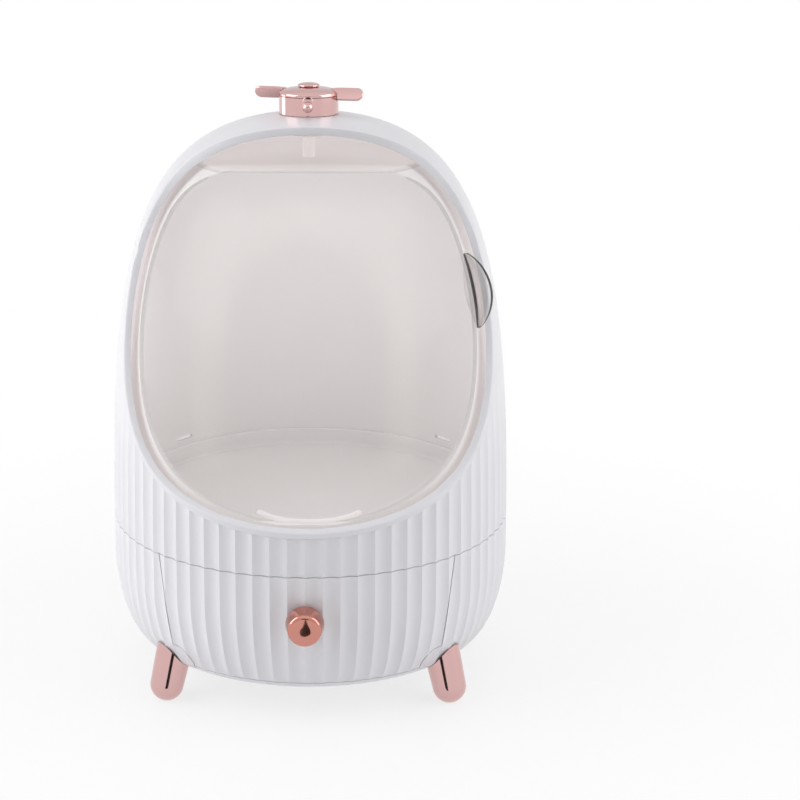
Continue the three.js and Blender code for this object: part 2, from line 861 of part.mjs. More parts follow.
// A solid of revolution about the nose's axis, heights measured outward from the housing's side
function alongNose(points) {
  const geometry = revolve(points, smallSegments / 2);
  geometry.rotateX(Math.PI / 2);
  geometry.translate(0, -hubRadius, noseHeight);
  return solidOf(geometry);
}

// Nose: an upright oblong plate and a ball on a stem that is pressed into the housing
function hubNose() {
  const ball = noseReach - noseBallRadius;
  const points = [
    [0, fit - noseReach],
    [noseStemRadius, fit - noseReach],
    [noseStemRadius, fit],
    [noseCollarRadius, fit],
    [noseCollarRadius, noseCollarLength],
  ];
  const steps = 6;
  for (let i = 1; i <= steps; i++) {
    const turn = (Math.PI * i) / steps;
    points.push([noseBallRadius * Math.sin(turn), ball - noseBallRadius * Math.cos(turn)]);
  }
  points[points.length - 1][0] = 0;
  const plate = new THREE.Shape();
  const high = noseHeight + noseCollarRise;
  plate.absarc(0, high, noseCollarRadius, 0, Math.PI, false);
  plate.absarc(0, noseHeight, noseCollarRadius, Math.PI, 2 * Math.PI, false);
  return alongNose(points).add(frontPrism(plate, -hubRadius - noseCollarLength, -hubRadius - fit));
}

// One blade: a rounded paddle, pitched about its own length, grown by a clearance
function blade(turn, clearance) {
  const half = bladeWidth / 2 + clearance;
  const root = ringRadius - bladeOverlap - clearance;
  const tip = bladeTip - bladeWidth / 2;
  const shape = new THREE.Shape();
  shape.moveTo(root, -half);
  shape.lineTo(tip, -half);
  shape.absarc(tip, 0, half, -Math.PI / 2, Math.PI / 2, false);
  shape.lineTo(root, half);
  const geometry = new THREE.ExtrudeGeometry(shape, {
    depth: bladeThickness + 2 * clearance - 2 * bladeEdge,
    bevelSize: bladeEdge,
    bevelOffset: -bladeEdge,
    bevelThickness: bladeEdge,
    bevelSegments: 2,
    curveSegments: smallSegments / 3,
  });
  geometry.translate(0, 0, bladeEdge - clearance - bladeThickness / 2);
  geometry.rotateX(radians(bladePitch));
  geometry.rotateZ(radians(turn));
  geometry.translate(0, 0, ringBottom + ringThickness / 2);
  return solidOf(geometry);
}

function bladePair(clearance) {
  return blade(-bladeTurn, clearance).add(blade(halfTurn - bladeTurn, clearance));
}

// Propeller: two pitched blades on a flat ring inside the cap
function propeller() {
  return cylinder(ringRadius, ringBottom, ringTop, 2 * smallSegments)
    .add(bladePair(0))
    .subtract(cylinder(spindleRadius + screwClearance, crownHeight, ringTop + overrun));
}

// Cap: a dome on the housing, recessed for the ring, the blades and the spindle's head
function propellerCap() {
  const points = [[0, capBottom], [hubRadius, capBottom]];
  const steps = 5;
  const spread = Math.acos(capFlatRadius / hubRadius);
  for (let i = 0; i <= steps; i++) {
    const turn = spread * (i / steps);
    points.push([
      hubRadius * Math.cos(turn),
      capBottom + capRim + (capRise * Math.sin(turn)) / Math.sin(spread),
    ]);
  }
  points.push([0, capTop]);
  const headRecess = capTop - fit - spindleHeadHeight - fit;
  return solidOf(revolve(points, 2 * smallSegments))
    .subtract(cylinder(ringRadius + fit, hubTop, ringTop + fit, 2 * smallSegments))
    .subtract(bladePair(fit))
    .subtract(cylinder(spindleHeadRadius + fit, headRecess, capTop + fit))
    .subtract(cylinder(spindleRadius + screwClearance, crownHeight, capTop));
}

function spindle() {
  const head = capTop - fit - spindleHeadHeight;
  return cylinder(spindleRadius, crownHeight - wallThickness + fit, head).add(
    cylinder(spindleHeadRadius, head, head + spindleHeadHeight),
  );
}

function crownFinial() {
  const bottom = capTop + fit;
  const points = [[0, bottom]];
  const steps = 5;
  for (let i = 0; i <= steps; i++) {
    const turn = (Math.PI / 2) * (i / steps);
    points.push([finialRadius * Math.cos(turn), bottom + finialHeight * Math.sin(turn)]);
  }
  points[points.length - 1][0] = 0;
  return solidOf(revolve(points, smallSegments));
}

addPart("upper_shell", upperShell(), whitePlastic);
addPart("inner_liner", innerLiner(), linerPlastic);
addPart("floor_tray", floorTray(), linerPlastic);
addPart("deck", deck(), linerPlastic);
addPart("lower_base", lowerBase(), whitePlastic);
addPart("drawer_front", drawerFront(), whitePlastic);
addPart("drawer_box", drawerBox(), linerPlastic);
addPart("drawer_knob", drawerKnob(), roseMetal);
addPart("knob_screw", knobScrew(), screwSteel);
addPart("drawer_rail_left", drawerRail(-1), linerPlastic);
addPart("drawer_rail_right", drawerRail(1), linerPlastic);
footAngles.forEach((angle, i) => {
  addPart("foot_" + footNames[i], foot(angle), roseMetal);
  addPart("foot_screw_" + footNames[i], footScrew(angle), screwSteel);
});
deckPostAngles.forEach((angle, i) => {
  addPart("deck_screw_" + (i + 1), deckScrew(angle), screwSteel);
});
addPart("door_panel", doorPanel(), smokedPlastic);
addPart("door_hub", doorHub(), smokedPlastic);
addPart("door_handle", doorHandle(), smokedGrey);
addPart("pivot_post", pivotPost(), linerPlastic);
addPart("pivot_screw", pivotScrew(), screwSteel);
addPart("hub_housing", hubHousing(), roseMetal);
addPart("hub_nose", hubNose(), roseMetal);
addPart("propeller", propeller(), roseMetal);
addPart("propeller_cap", propellerCap(), roseMetal);
addPart("spindle", spindle(), screwSteel);
addPart("crown_finial", crownFinial(), roseMetal);

export default organizer;
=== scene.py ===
"""Looks of a fluted cosmetic organizer box with a turning door, a drawer and a propeller on its crown"""
import math

import bmesh
import bpy
import numpy as np
from mathutils import Matrix, Vector


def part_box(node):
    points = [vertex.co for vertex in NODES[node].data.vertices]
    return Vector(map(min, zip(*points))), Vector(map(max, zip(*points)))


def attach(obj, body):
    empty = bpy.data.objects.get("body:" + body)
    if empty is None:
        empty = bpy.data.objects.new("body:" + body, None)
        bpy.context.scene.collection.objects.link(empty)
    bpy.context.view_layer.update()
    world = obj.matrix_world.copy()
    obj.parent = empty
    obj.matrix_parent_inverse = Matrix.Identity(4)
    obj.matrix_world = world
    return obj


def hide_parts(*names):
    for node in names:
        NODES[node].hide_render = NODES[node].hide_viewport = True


bl_info = {
    "name": "Cosmetic Organizer Box",
    "version": (1, 0, 0),
    "blender": (4, 5, 0),
    "location": "3D View > Sidebar > Organizer",
    "description": "Builds the looks of a fluted organizer box on its fixed frame",
    "category": "Add Mesh",
}

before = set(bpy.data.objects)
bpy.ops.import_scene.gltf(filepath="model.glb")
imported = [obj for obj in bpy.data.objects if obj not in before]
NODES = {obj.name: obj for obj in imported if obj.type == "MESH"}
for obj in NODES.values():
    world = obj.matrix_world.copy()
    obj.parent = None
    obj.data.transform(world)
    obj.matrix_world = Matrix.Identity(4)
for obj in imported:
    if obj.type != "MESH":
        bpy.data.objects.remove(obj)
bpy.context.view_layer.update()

# Sizes in metres that the shapes share with the frame; the door's angles and the feet's turns are in degrees
AXIS_Y = sum(corner.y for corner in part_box("crown_finial")) / 2
CROWN = 0.3187
WAIST = 0.065
BODY_RADIUS = 0.1135
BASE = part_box("lower_base")[0].z
WALL = 0.0035
SEAM = 0.090
SEAM_GAP = 0.0005
FIT = 0.0003
LOWER_CURVE = ((0.095, 0.020), (0.1106, 0.023), (0.1135, 0.062), (0.1135, WAIST))
UPPER_CURVE = ((0.1135, WAIST), (0.1135, 0.2555), (0.093, CROWN), (0.0, CROWN))
RIM_TOP = 0.288
RIM_FRONT = 0.1145
LINER_INSET = 0.0075
LINER_THICKNESS = 0.002
DOOR_INSET = 0.0045
DOOR_THICKNESS = 0.002
DOOR_ANGLES = (-77.0, 74.0)
FOOT_TILT = math.radians(16.5)
FOOT_TURNS = (-49, 49, -131, 131)
FOOT_REACH = BODY_RADIUS - 0.0065
BORE = 0.0027


# Sizes and colours that a user would change


class OrganizerSizes(bpy.types.PropertyGroup):
    """Sizes of the finish that lies on the frame"""

    flute_count: bpy.props.IntProperty(
        name="Flutes", description="Flutes round the body", default=76, min=12
    )
    flute_depth: bpy.props.FloatProperty(
        name="Flute depth", description="Depth of a flute at its middle", default=0.0011, unit="LENGTH"
    )
    flute_margin: bpy.props.FloatProperty(
        name="Flute margin", description="Smooth band between the flutes and the rim",
        default=0.0033, unit="LENGTH"
    )
    rim_round: bpy.props.FloatProperty(
        name="Rim round", description="Rounding of the opening's outer edge", default=0.0006, unit="LENGTH"
    )
    edge_round: bpy.props.FloatProperty(
        name="Edge round", description="Rounding of the small edges", default=0.0003, unit="LENGTH"
    )


class OrganizerColours(bpy.types.PropertyGroup):
    """Colours of the finishes"""

    shell: bpy.props.FloatVectorProperty(
        name="Shell", description="Satin white of the outer body",
        default=(0.785, 0.78, 0.815), subtype="COLOR"
    )
    liner: bpy.props.FloatVectorProperty(
        name="Liner", description="White of the cabin and the drawer box",
        default=(0.86, 0.847, 0.848), subtype="COLOR"
    )
    # Colour of the painted glow: an emission in place of light reaching the cabin and the gaps.
    through: bpy.props.FloatVectorProperty(
        name="Light through", description="Warm light that comes through the thin walls",
        default=(0.148, 0.137, 0.133), subtype="COLOR"
    )
    door: bpy.props.FloatVectorProperty(
        name="Door", description="Warm tint of the clear door", default=(0.60, 0.52, 0.50), subtype="COLOR"
    )
    handle: bpy.props.FloatVectorProperty(
        name="Handle", description="Grey of the smoked handle", default=(0.22, 0.19, 0.18), subtype="COLOR"
    )
    rose: bpy.props.FloatVectorProperty(
        name="Rose gold", description="Polished metal of the feet and the ornament",
        default=(0.66, 0.42, 0.405), subtype="COLOR"
    )
    copper: bpy.props.FloatVectorProperty(
        name="Copper rose", description="Deeper rose gold of the knob",
        default=(0.58, 0.25, 0.20), subtype="COLOR"
    )
    steel: bpy.props.FloatVectorProperty(
        name="Steel", description="Plain steel of the screws", default=(0.52, 0.52, 0.54), subtype="COLOR"
    )
    floor: bpy.props.FloatVectorProperty(
        name="Floor", description="Pale floor", default=(0.93, 0.93, 0.93), subtype="COLOR"
    )


# Shader maths


class Value:
    """A node's output, which sums and products can be written with"""

    def __init__(self, nodes, socket):
        self.nodes = nodes
        self.socket = socket

    def math(self, operation, *others):
        return self.nodes.node("ShaderNodeMath", {"operation": operation}, dict(enumerate(others)))

    def __add__(self, other):
        return self.math("ADD", self, other)

    __radd__ = __add__

    def __mul__(self, other):
        return self.math("MULTIPLY", self, other)

    __rmul__ = __mul__

    def __sub__(self, other):
        return self.math("SUBTRACT", self, other)

    def __rsub__(self, other):
        return self.math("SUBTRACT", other, self)

    def __pow__(self, other):
        return self.math("POWER", self, other)


class Nodes:
    """A shader tree in the making, with one way to add any node"""

    def __init__(self, tree):
        self.tree = tree

    def feed(self, socket, value):
        if isinstance(value, Value):
            self.tree.links.new(value.socket, socket)
        else:
            socket.default_value = value

    def node(self, kind, settings=None, inputs=None, output=0):
        made = self.tree.nodes.new(kind)
        for key, value in (settings or {}).items():
            if key == "stops":
                ramp = made.color_ramp
                while len(ramp.elements) < len(value):
                    ramp.elements.new(0.5)
                for element, (place, colour) in zip(ramp.elements, value):
                    element.position = place
                    element.color = colour
            else:
                setattr(made, key, value)
        for key, value in (inputs or {}).items():
            self.feed(made.inputs[key], value)
        return Value(self, made.outputs[output])

    def ray(self, kind):
        return self.node("ShaderNodeLightPath", output="Is " + kind + " Ray")

    def span(self, value, low, high, start=0.0, end=1.0, smooth=False):
        settings = {"interpolation_type": "SMOOTHSTEP"} if smooth else {}
        inputs = {"Value": value, "From Min": start, "From Max": end, "To Min": low, "To Max": high}
        return self.node("ShaderNodeMapRange", settings, inputs)

    def tint(self, factor, colour, other):
        """A colour between two, each given or linked: input 0 is the factor, 6 and 7 are the colours"""
        ends = [end if isinstance(end, Value) else (*end[:3], 1.0) for end in (colour, other)]
        settings = {"data_type": "RGBA", "clamp_factor": False}
        return self.node("ShaderNodeMix", settings, {0: factor, 6: ends[0], 7: ends[1]}, 2)


class Look(Nodes):
    """A material in the making, with its shader"""

    def __init__(self, name, **inputs):
        self.material = bpy.data.materials.new(name)
        self.material.use_nodes = True
        super().__init__(self.material.node_tree)
        self.shader = self.tree.nodes["Principled BSDF"]
        for key, value in inputs.items():
            self.set(key.replace("_", " "), value)

    def place(self):
        return self.node("ShaderNodeTexCoord", output="Object")

    def noise(self, scale, detail=3.0, rough=0.5, where=None, output="Fac"):
        inputs = {"Vector": where or self.place(), "Scale": scale, "Detail": detail, "Roughness": rough}
        return self.node("ShaderNodeTexNoise", {}, inputs, output)

    def bump(self, height, distance, strength=1.0):
        inputs = {"Height": height, "Distance": distance, "Strength": strength}
        self.set("Normal", self.node("ShaderNodeBump", {}, inputs))

    def mark(self, name):
        """A number that the piece's mesh holds under a name"""
        return self.node("ShaderNodeAttribute", {"attribute_name": name}, output="Fac")

    def set(self, key, value):
        self.feed(self.shader.inputs[key], value)


def shade(colour, factor):
    """A colour made darker or lighter"""
    return tuple(min(1.0, part * factor) for part in colour[:3])


def moulded(name, colour, roughness, coat, through=None):
    """Moulded plastic: a faint mottle, a very fine grain, painted shade on faces marked as an edge, and a
    painted glow: an emission in place of the light that reaches the inside
    """
    look = Look(name, Coat_Weight=coat, Coat_Roughness=0.18, IOR=1.46)
    cloud = look.noise(24.0, 3.0)
    face = look.tint(cloud, shade(colour, 0.985), shade(colour, 1.012))
    # Painted shade: faces marked as an edge are darkened to 0.74 of the colour.
    look.set("Base Color", look.tint(look.mark("edge"), face, shade(colour, 0.74)))
    fine = look.noise(1500.0, 2.0)
    look.set("Roughness", look.span(cloud * 0.6 + fine * 0.4, roughness - 0.05, roughness + 0.05))
    look.bump(fine, 0.000012)
    # Painted glow: an emission, scaled by each point's glow mark, in place of light reaching the cabin and
    # its gaps.
    if through:
        look.set("Emission Color", look.tint(look.mark("thin"), (0.0, 0.0, 0.0), through))
        look.set("Emission Strength", 1.0)
    return look.material


def smoked(name, colour, alpha, roughness):
    """Clear plastic with a smoke tint: thin to the light, with faint ripples of the mould"""
    look = Look(name, Roughness=roughness, Coat_Weight=0.5, Coat_Roughness=0.03, IOR=1.49)
    cloud = look.noise(16.0, 2.0)
    look.set("Base Color", look.tint(cloud, shade(colour, 0.96), shade(colour, 1.04)))
    look.set("Alpha", look.span(cloud, alpha - 0.015, alpha + 0.015))
    look.bump(look.noise(30.0, 1.0), 0.00004)
    look.material.surface_render_method = "BLENDED"
    return look.material


def banded(name, colour):
    """Smoked plastic of the fin: nearly clear, with a broad band of smoke, and dark along its cut edges"""
    look = Look(name, Coat_Weight=0.3, Coat_Roughness=0.04, IOR=1.49)
    smoke = look.mark("smoke")
    cloud = look.noise(40.0, 2.0)
    look.set("Base Color", look.tint(smoke, shade(colour, 1.4), shade(colour, 0.25)))
    look.set("Alpha", look.span(smoke + cloud * 0.04, 0.02, 0.98))
    look.set("Roughness", look.span(cloud, 0.05, 0.1))
    look.material.surface_render_method = "BLENDED"
    return look.material


def plated(name, colour, roughness, lacquer=0.0):
    """Polished plated metal: faint clouds in the gloss, hair-fine wipe marks and a clear lacquer"""
    look = Look(name, Metallic=1.0, Coat_Weight=lacquer, Coat_Roughness=0.05)
    cloud = look.noise(60.0, 3.0)
    stretched = look.node("ShaderNodeMapping", {}, {"Vector": look.place(), "Scale": (900.0, 900.0, 60.0)})
    wipes = look.noise(1.0, 2.0, 0.6, stretched)
    look.set("Base Color", look.tint(cloud, shade(colour, 0.96), shade(colour, 1.04)))
    look.set("Roughness", look.span(cloud * 0.5 + wipes * 0.5, roughness - 0.03, roughness + 0.03))
    look.bump(wipes, 0.000004)
    return look.material


LOOKS = {}


def make_looks(colours):
    """The finishes, made once"""
    if not LOOKS:
        LOOKS.update(
            shell_white=moulded("Satin white shell", colours.shell, 0.36, 0.12, colours.through),
            liner_white=moulded("Satin white liner", colours.liner, 0.42, 0.05, colours.through),
            tray_white=moulded("Glossy white tray", colours.liner, 0.09, 0.8, colours.through),
            smoked_clear=smoked("Smoked clear door", colours.door, 0.07, 0.04),
            smoked_grey=banded("Smoked grey handle", colours.handle),
            rose_metal=plated("Polished rose gold", colours.rose, 0.10, 0.3),
            rose_knob=plated("Polished copper rose", colours.copper, 0.07, 0.3),
            screw_steel=plated("Plain screw steel", colours.steel, 0.3),
        )


# Outlines of the body


def bezier(points, share):
    """Points of a cubic or quadratic curve in the plane"""
    share = np.asarray(share, float)[:, None]
    level = [np.array(point, float)[None, :] for point in points]
    while len(level) > 1:
        level = [first * (1 - share) + second * share for first, second in zip(level, level[1:])]
    return level[0]


class Outline:
    """The body's side in radius and height, set in by an inset, read by height or by length"""

    def __init__(self, inset):
        share = np.linspace(0, 1, 400)
        runs = []
        for curve in (LOWER_CURVE, UPPER_CURVE):
            points = bezier(curve, share)
            along = np.gradient(points, axis=0)
            along[-1] = np.array(curve[-1]) - np.array(curve[-2])
            along[0] = np.array(curve[1]) - np.array(curve[0])
            along /= np.linalg.norm(along, axis=1, keepdims=True)
            runs.append(points + inset * np.column_stack((-along[:, 1], along[:, 0])))
        line = np.vstack((runs[0], runs[1][1:]))
        self.radii, self.heights = line[:, 0], line[:, 1]
        self.lengths = np.concatenate(([0], np.cumsum(np.linalg.norm(np.diff(line, axis=0), axis=1))))

    def radius(self, height):
        return np.interp(height, self.heights, self.radii)

    def length(self, height):
        return np.interp(height, self.heights, self.lengths)

    def length_at_radius(self, radius):
        half = len(self.radii) // 2
        return np.interp(-radius, -self.radii[half:], self.lengths[half:])

    def at(self, length):
        return np.interp(length, self.lengths, self.radii), np.interp(length, self.lengths, self.heights)


def round_points(angle, radius, height):
    """Points from an azimuth measured from the front, a radius and a height"""
    angle, radius, height = np.broadcast_arrays(angle, radius, height)
    return np.stack((radius * np.sin(angle), AXIS_Y - radius * np.cos(angle), height), axis=-1)


def rim_line(margin):
    """Line of the opening's rim in the side view, as depth from the axis and height"""
    back = -0.027 + margin
    share = np.linspace(0, 1, 400)
    start, knee = (-BODY_RADIUS, RIM_FRONT - margin), (-0.066, 0.136 - margin)
    low = bezier((start, knee, (back, 0.162), (back, RIM_TOP)), share)
    high = bezier(((back, RIM_TOP), (back, RIM_TOP + 0.0145), (back - 0.0085, RIM_TOP + 0.029)), share)
    tail = np.array([[back - 0.034, RIM_TOP + 0.087]])
    return np.vstack((low, high[1:], tail))


class Rim:
    """Where the rim line meets a body surface: its widest azimuth, and its low and high line"""

    def __init__(self, outline, margin=0.0, lip=0.0):
        line = rim_line(margin)
        height = np.linspace(line[0, 1], outline.heights[-1] - 1e-5, 6000)
        depth = lip * np.clip((height - 0.27) / 0.03, 0, 1) - np.interp(height, line[:, 1], line[:, 0])
        share = depth / np.maximum(outline.radius(height), 1e-6)
        bend = int(np.argmin(share))
        self.widest = math.acos(share[bend])
        self.level = height[bend]
        self.low_share, self.low_height = share[bend::-1], height[bend::-1]
        self.high_share, self.high_height = share[bend:], height[bend:]

    def low(self, angle):
        height = np.interp(np.cos(angle), self.low_share, self.low_height)
        return np.where(np.abs(angle) < self.widest, height, self.level)

    def high(self, angle):
        height = np.interp(np.cos(angle), self.high_share, self.high_height)
        return np.where(np.abs(angle) < self.widest, height, self.level)

    def angle(self, height):
        heights = np.concatenate((self.low_height[::-1], self.high_height[1:]))
        shares = np.concatenate((self.low_share[::-1], self.high_share[1:]))
        return np.arccos(np.clip(np.interp(height, heights, shares), -1, 1))


# Meshes


def placed(name, data):
    """An object in the scene that holds a mesh, a lamp or a camera"""
    obj = bpy.data.objects.new(name, data)
    bpy.context.scene.collection.objects.link(obj)
    return obj


def plain_mesh(name, points, faces=()):
    """An object from points and faces, as they are given"""
    mesh = bpy.data.meshes.new(name)
    faces = [tuple(int(number) for number in face) for face in faces]
    mesh.from_pydata([tuple(point) for point in points], [], faces)
    mesh.update()
    return placed(name, mesh)


def mesh_object(name, points, faces):
    """A closed object from points and faces, its faces turned outwards"""
    obj = plain_mesh(name, points, faces)
    made = bmesh.new()
    made.from_mesh(obj.data)
    if made.calc_volume(signed=True) < 0:
        bmesh.ops.reverse_faces(made, faces=made.faces)
    made.to_mesh(obj.data)
    made.free()
    return obj


def outward(obj, gap=0.0):
    """Turns every face outwards, once the points nearer than a gap are merged"""
    made = bmesh.new()
    made.from_mesh(obj.data)
    if gap:
        bmesh.ops.remove_doubles(made, verts=made.verts, dist=gap)
    bmesh.ops.recalc_face_normals(made, faces=made.faces)
    made.to_mesh(obj.data)
    made.free()
    return obj


def strip(first, second, closed=True):
    """Quads between two rows of point numbers"""
    count = len(first) if closed else len(first) - 1
    ends = [(i, (i + 1) % len(first)) for i in range(count)]
    return [(first[i], first[j], second[j], second[i]) for i, j in ends]


class Rows:
    """Points gathered row by row, and the faces between the rows"""

    def __init__(self):
        self.points, self.faces = [], []

    def add(self, points):
        """Adds a row of points and returns their numbers"""
        start = len(self.points)
        self.points.extend(points)
        return list(range(start, len(self.points)))

    def join(self, rows, closed=True, way=1):
        """Quads between the rows that follow each other, turned over where the way is -1"""
        for first, second in zip(rows, rows[1:]):
            self.faces += [face[::way] for face in strip(first, second, closed)]

    def fan(self, row, tip, way=1):
        """Triangles from a closed row to one point"""
        self.faces += [(first, second, tip)[::way] for first, second in zip(row, row[1:] + row[:1])]

    def close(self, first, last):
        """Caps on the first and the last row"""
        self.faces += [tuple(first), tuple(last[::-1])]

    def made(self, name):
        return mesh_object(name, self.points, self.faces)


def baked(obj):
    """The object with its modifiers applied to a plain mesh"""
    bpy.context.view_layer.update()
    graph = bpy.context.evaluated_depsgraph_get()
    done = obj.evaluated_get(graph)
    mesh = bpy.data.meshes.new_from_object(done, preserve_all_data_layers=True, depsgraph=graph)
    obj.modifiers.clear()
    obj.data = mesh
    return obj


def extent(obj):
    """Lowest and highest corner of an object's mesh"""
    spots = np.array([vertex.co for vertex in obj.data.vertices])
    return spots.min(axis=0), spots.max(axis=0)


def combine(obj, other, operation):
    """Adds, cuts or keeps what another object covers, and removes that object"""
    low, high = extent(obj)
    if operation == "UNION":
        extra = extent(other)
        low, high = np.minimum(low, extra[0]), np.maximum(high, extra[1])
    cut = obj.modifiers.new("Join", "BOOLEAN")
    cut.operation = operation
    cut.solver = "EXACT"
    cut.object = other
    baked(obj)
    bpy.data.objects.remove(other)
    if not obj.data.vertices:
        raise RuntimeError("nothing is left of " + obj.name)
    new_low, new_high = extent(obj)
    if (new_low < low - 1e-6).any() or (new_high > high + 1e-6).any():
        raise RuntimeError("the cut of " + obj.name + " went wrong")
    return obj


def soften(obj, angle=35.0):
    """Smooth shading that keeps the edges sharper than an angle"""
    obj.data.polygons.foreach_set("use_smooth", [True] * len(obj.data.polygons))
    obj.data.set_sharp_from_angle(angle=math.radians(angle))
    return obj


def piece(obj, body, look, replaces=(), angle=35.0):
    """Finishes a piece: its shading, material, body and the nodes that it stands for"""
    soften(obj, angle)
    obj.data.materials.clear()
    obj.data.materials.append(LOOKS[look])
    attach(obj, body)
    if replaces:
        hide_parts(*replaces)
    return obj


def lathe(name, profile, segments=96):
    """A closed turned body from radius and height, its ends on the axis or meeting each other"""
    body, rows = Rows(), []
    turns = [2 * math.pi * i / segments for i in range(segments)]
    for radius, height in profile:
        if radius < 1e-7:
            rows.append(body.add([(0.0, 0.0, height)]))
        else:
            ring = [(radius * math.sin(turn), -radius * math.cos(turn), height) for turn in turns]
            rows.append(body.add(ring))
    meeting = len(rows[0]) > 1 or len(rows[-1]) > 1
    for low, high in zip(rows, rows[1:] + rows[:1] * meeting):
        if len(low) > 1 and len(high) > 1:
            body.faces += strip(low, high)
        elif len(high) > 1:
            body.fan(high, low[0], -1)
        elif len(low) > 1:
            body.fan(low, high[0])
    return body.made(name)


def filleted(corners, steps=4):
    """A profile whose corners, given as radius, height and rounding, are rounded"""
    line = []
    for i, corner in enumerate(corners):
        here = np.array(corner[:2], float)
        size = corner[2] if len(corner) > 2 else 0.0
        if size <= 0 or i in (0, len(corners) - 1):
            line.append(tuple(here))
            continue
        before = np.array(corners[i - 1][:2], float) - here
        after = np.array(corners[i + 1][:2], float) - here
        sides = [np.linalg.norm(side) for side in (before, after)]
        run = min(size, 0.49 * sides[0], 0.49 * sides[1])
        start, end = here + before / sides[0] * run, here + after / sides[1] * run
        line += [tuple(point) for point in bezier((start, here, end), np.linspace(0, 1, steps + 1))]
    return line


def arc_points(turns, middle, size, height=None):
    """Points of an arc in the plane, as high as it is wide unless a height is given"""
    height = size if height is None else height
    return [(middle[0] + size * math.cos(turn), middle[1] + height * math.sin(turn)) for turn in turns]


def moved(obj, matrix):
    obj.data.transform(matrix)
    obj.data.update()
    return obj


def round_axis(turn, height=0.0):
    """A place on the body's axis, turned about it"""
    return Matrix.Translation((0, AXIS_Y, height)) @ Matrix.Rotation(turn, 4, "Z")


def facing_front(depth, height):
    """A place where what is drawn upright faces the front"""
    return Matrix.Translation((0, depth, height)) @ Matrix.Rotation(math.pi / 2, 4, "X")


def on_axis(obj):
    return moved(obj, Matrix.Translation((0, AXIS_Y, 0)))


def turned(name, corners, segments=96, steps=4):
    """A turned piece on the body's axis, with rounded corners"""
    return on_axis(lathe(name, filleted(corners, steps), segments))


def egg(name, inset, segments, rows):
    """The smooth body set in by an inset, as one closed solid"""
    outline = Outline(inset)
    radii, heights = outline.at(np.linspace(0.0, outline.lengths[-1], rows))
    profile = [(0.0, heights[0]), *zip(radii[:-1], heights[:-1]), (0.0, heights[-1])]
    return on_axis(lathe(name, profile, segments))


def prism(name, outline, spot, near, far):
    """An outline run between two depths, where spot places a corner at a depth"""
    body = Rows()
    rows = [body.add([spot(across, up, depth) for across, up in outline]) for depth in (near, far)]
    body.close(*rows)
    body.join(rows)
    return body.made(name)


def front_prism(name, outline, near, far):
    """A shape drawn in the front view, as X and Z, run along Y"""
    return prism(name, outline, lambda x, z, y: (x, y, z), near, far)


def side_prism(name, outline, half):
    """A shape drawn in the side view, as depth from the axis and height, run along X"""
    return prism(name, outline, lambda y, z, x: (x, AXIS_Y + y, z), -half, half)


def plate(name, outline, low, high, rounding, steps=4):
    """A flat piece with rounded edges, from a convex outline that runs counter-clockwise"""
    line = np.array(outline, float)
    along = np.roll(line, -1, axis=0) - np.roll(line, 1, axis=0)
    inward = np.column_stack((-along[:, 1], along[:, 0])) / np.linalg.norm(along, axis=1, keepdims=True)
    turns = np.linspace(0, math.pi / 2, steps + 1)
    rounds = [(rounding * (1 - math.sin(turn)), rounding * (1 - math.cos(turn))) for turn in turns]
    layers = [(inset, low + rise) for inset, rise in rounds]
    layers += [(inset, high - rise) for inset, rise in rounds[::-1]]
    body = Rows()
    rows = [body.add([(x, y, height) for x, y in line + inward * inset]) for inset, height in layers]
    body.join(rows)
    body.close(rows[0][::-1], rows[-1][::-1])
    return body.made(name)


def mark(obj, name, values, domain="POINT"):
    """Stores one number for each point or face under a name"""
    layer = obj.data.attributes.new(name, "FLOAT", domain)
    layer.data.foreach_set("value", np.asarray(values, np.float32))


def spots_of(obj):
    """Places and radii from the body's axis of an object's points"""
    spots = np.array([vertex.co for vertex in obj.data.vertices])
    return spots, np.hypot(spots[:, 0], spots[:, 1] - AXIS_Y)


# Geometry nodes


class Tree:
    """A geometry node tree in the making, with named inputs"""

    def __init__(self, name, inputs):
        self.group = bpy.data.node_groups.new(name, "GeometryNodeTree")
        face = self.group.interface
        face.new_socket("Geometry", in_out="INPUT", socket_type="NodeSocketGeometry")
        face.new_socket("Geometry", in_out="OUTPUT", socket_type="NodeSocketGeometry")
        self.names = {}
        for label, (kind, value) in inputs.items():
            socket = face.new_socket(label, in_out="INPUT", socket_type=kind)
            if value is not None:
                socket.default_value = value
            self.names[label] = socket.identifier
        self.start = self.group.nodes.new("NodeGroupInput")
        self.end = self.group.nodes.new("NodeGroupOutput")

    def given(self, label):
        return self.start.outputs[label]

    def node(self, kind, settings=None, inputs=None, output=0):
        made = self.group.nodes.new(kind)
        for key, value in (settings or {}).items():
            setattr(made, key, value)
        for key, value in (inputs or {}).items():
            if isinstance(value, bpy.types.NodeSocket):
                self.group.links.new(value, made.inputs[key])
            else:
                made.inputs[key].default_value = value
        return made.outputs[output]

    def math(self, operation, *values):
        return self.node("ShaderNodeMath", {"operation": operation}, dict(enumerate(values)))

    def close(self, geometry, material):
        """Ends the tree in Realize Instances and Set Material"""
        real = self.node("GeometryNodeRealizeInstances", {}, {"Geometry": geometry})
        done = self.node("GeometryNodeSetMaterial", {}, {"Geometry": real, "Material": material})
        self.group.links.new(done, self.end.inputs[0])

    def apply(self, obj, values):
        """Runs the tree on an object and leaves a plain mesh"""
        modifier = obj.modifiers.new(self.group.name, "NODES")
        modifier.node_group = self.group
        for label, value in values.items():
            modifier[self.names[label]] = value
        return baked(obj)


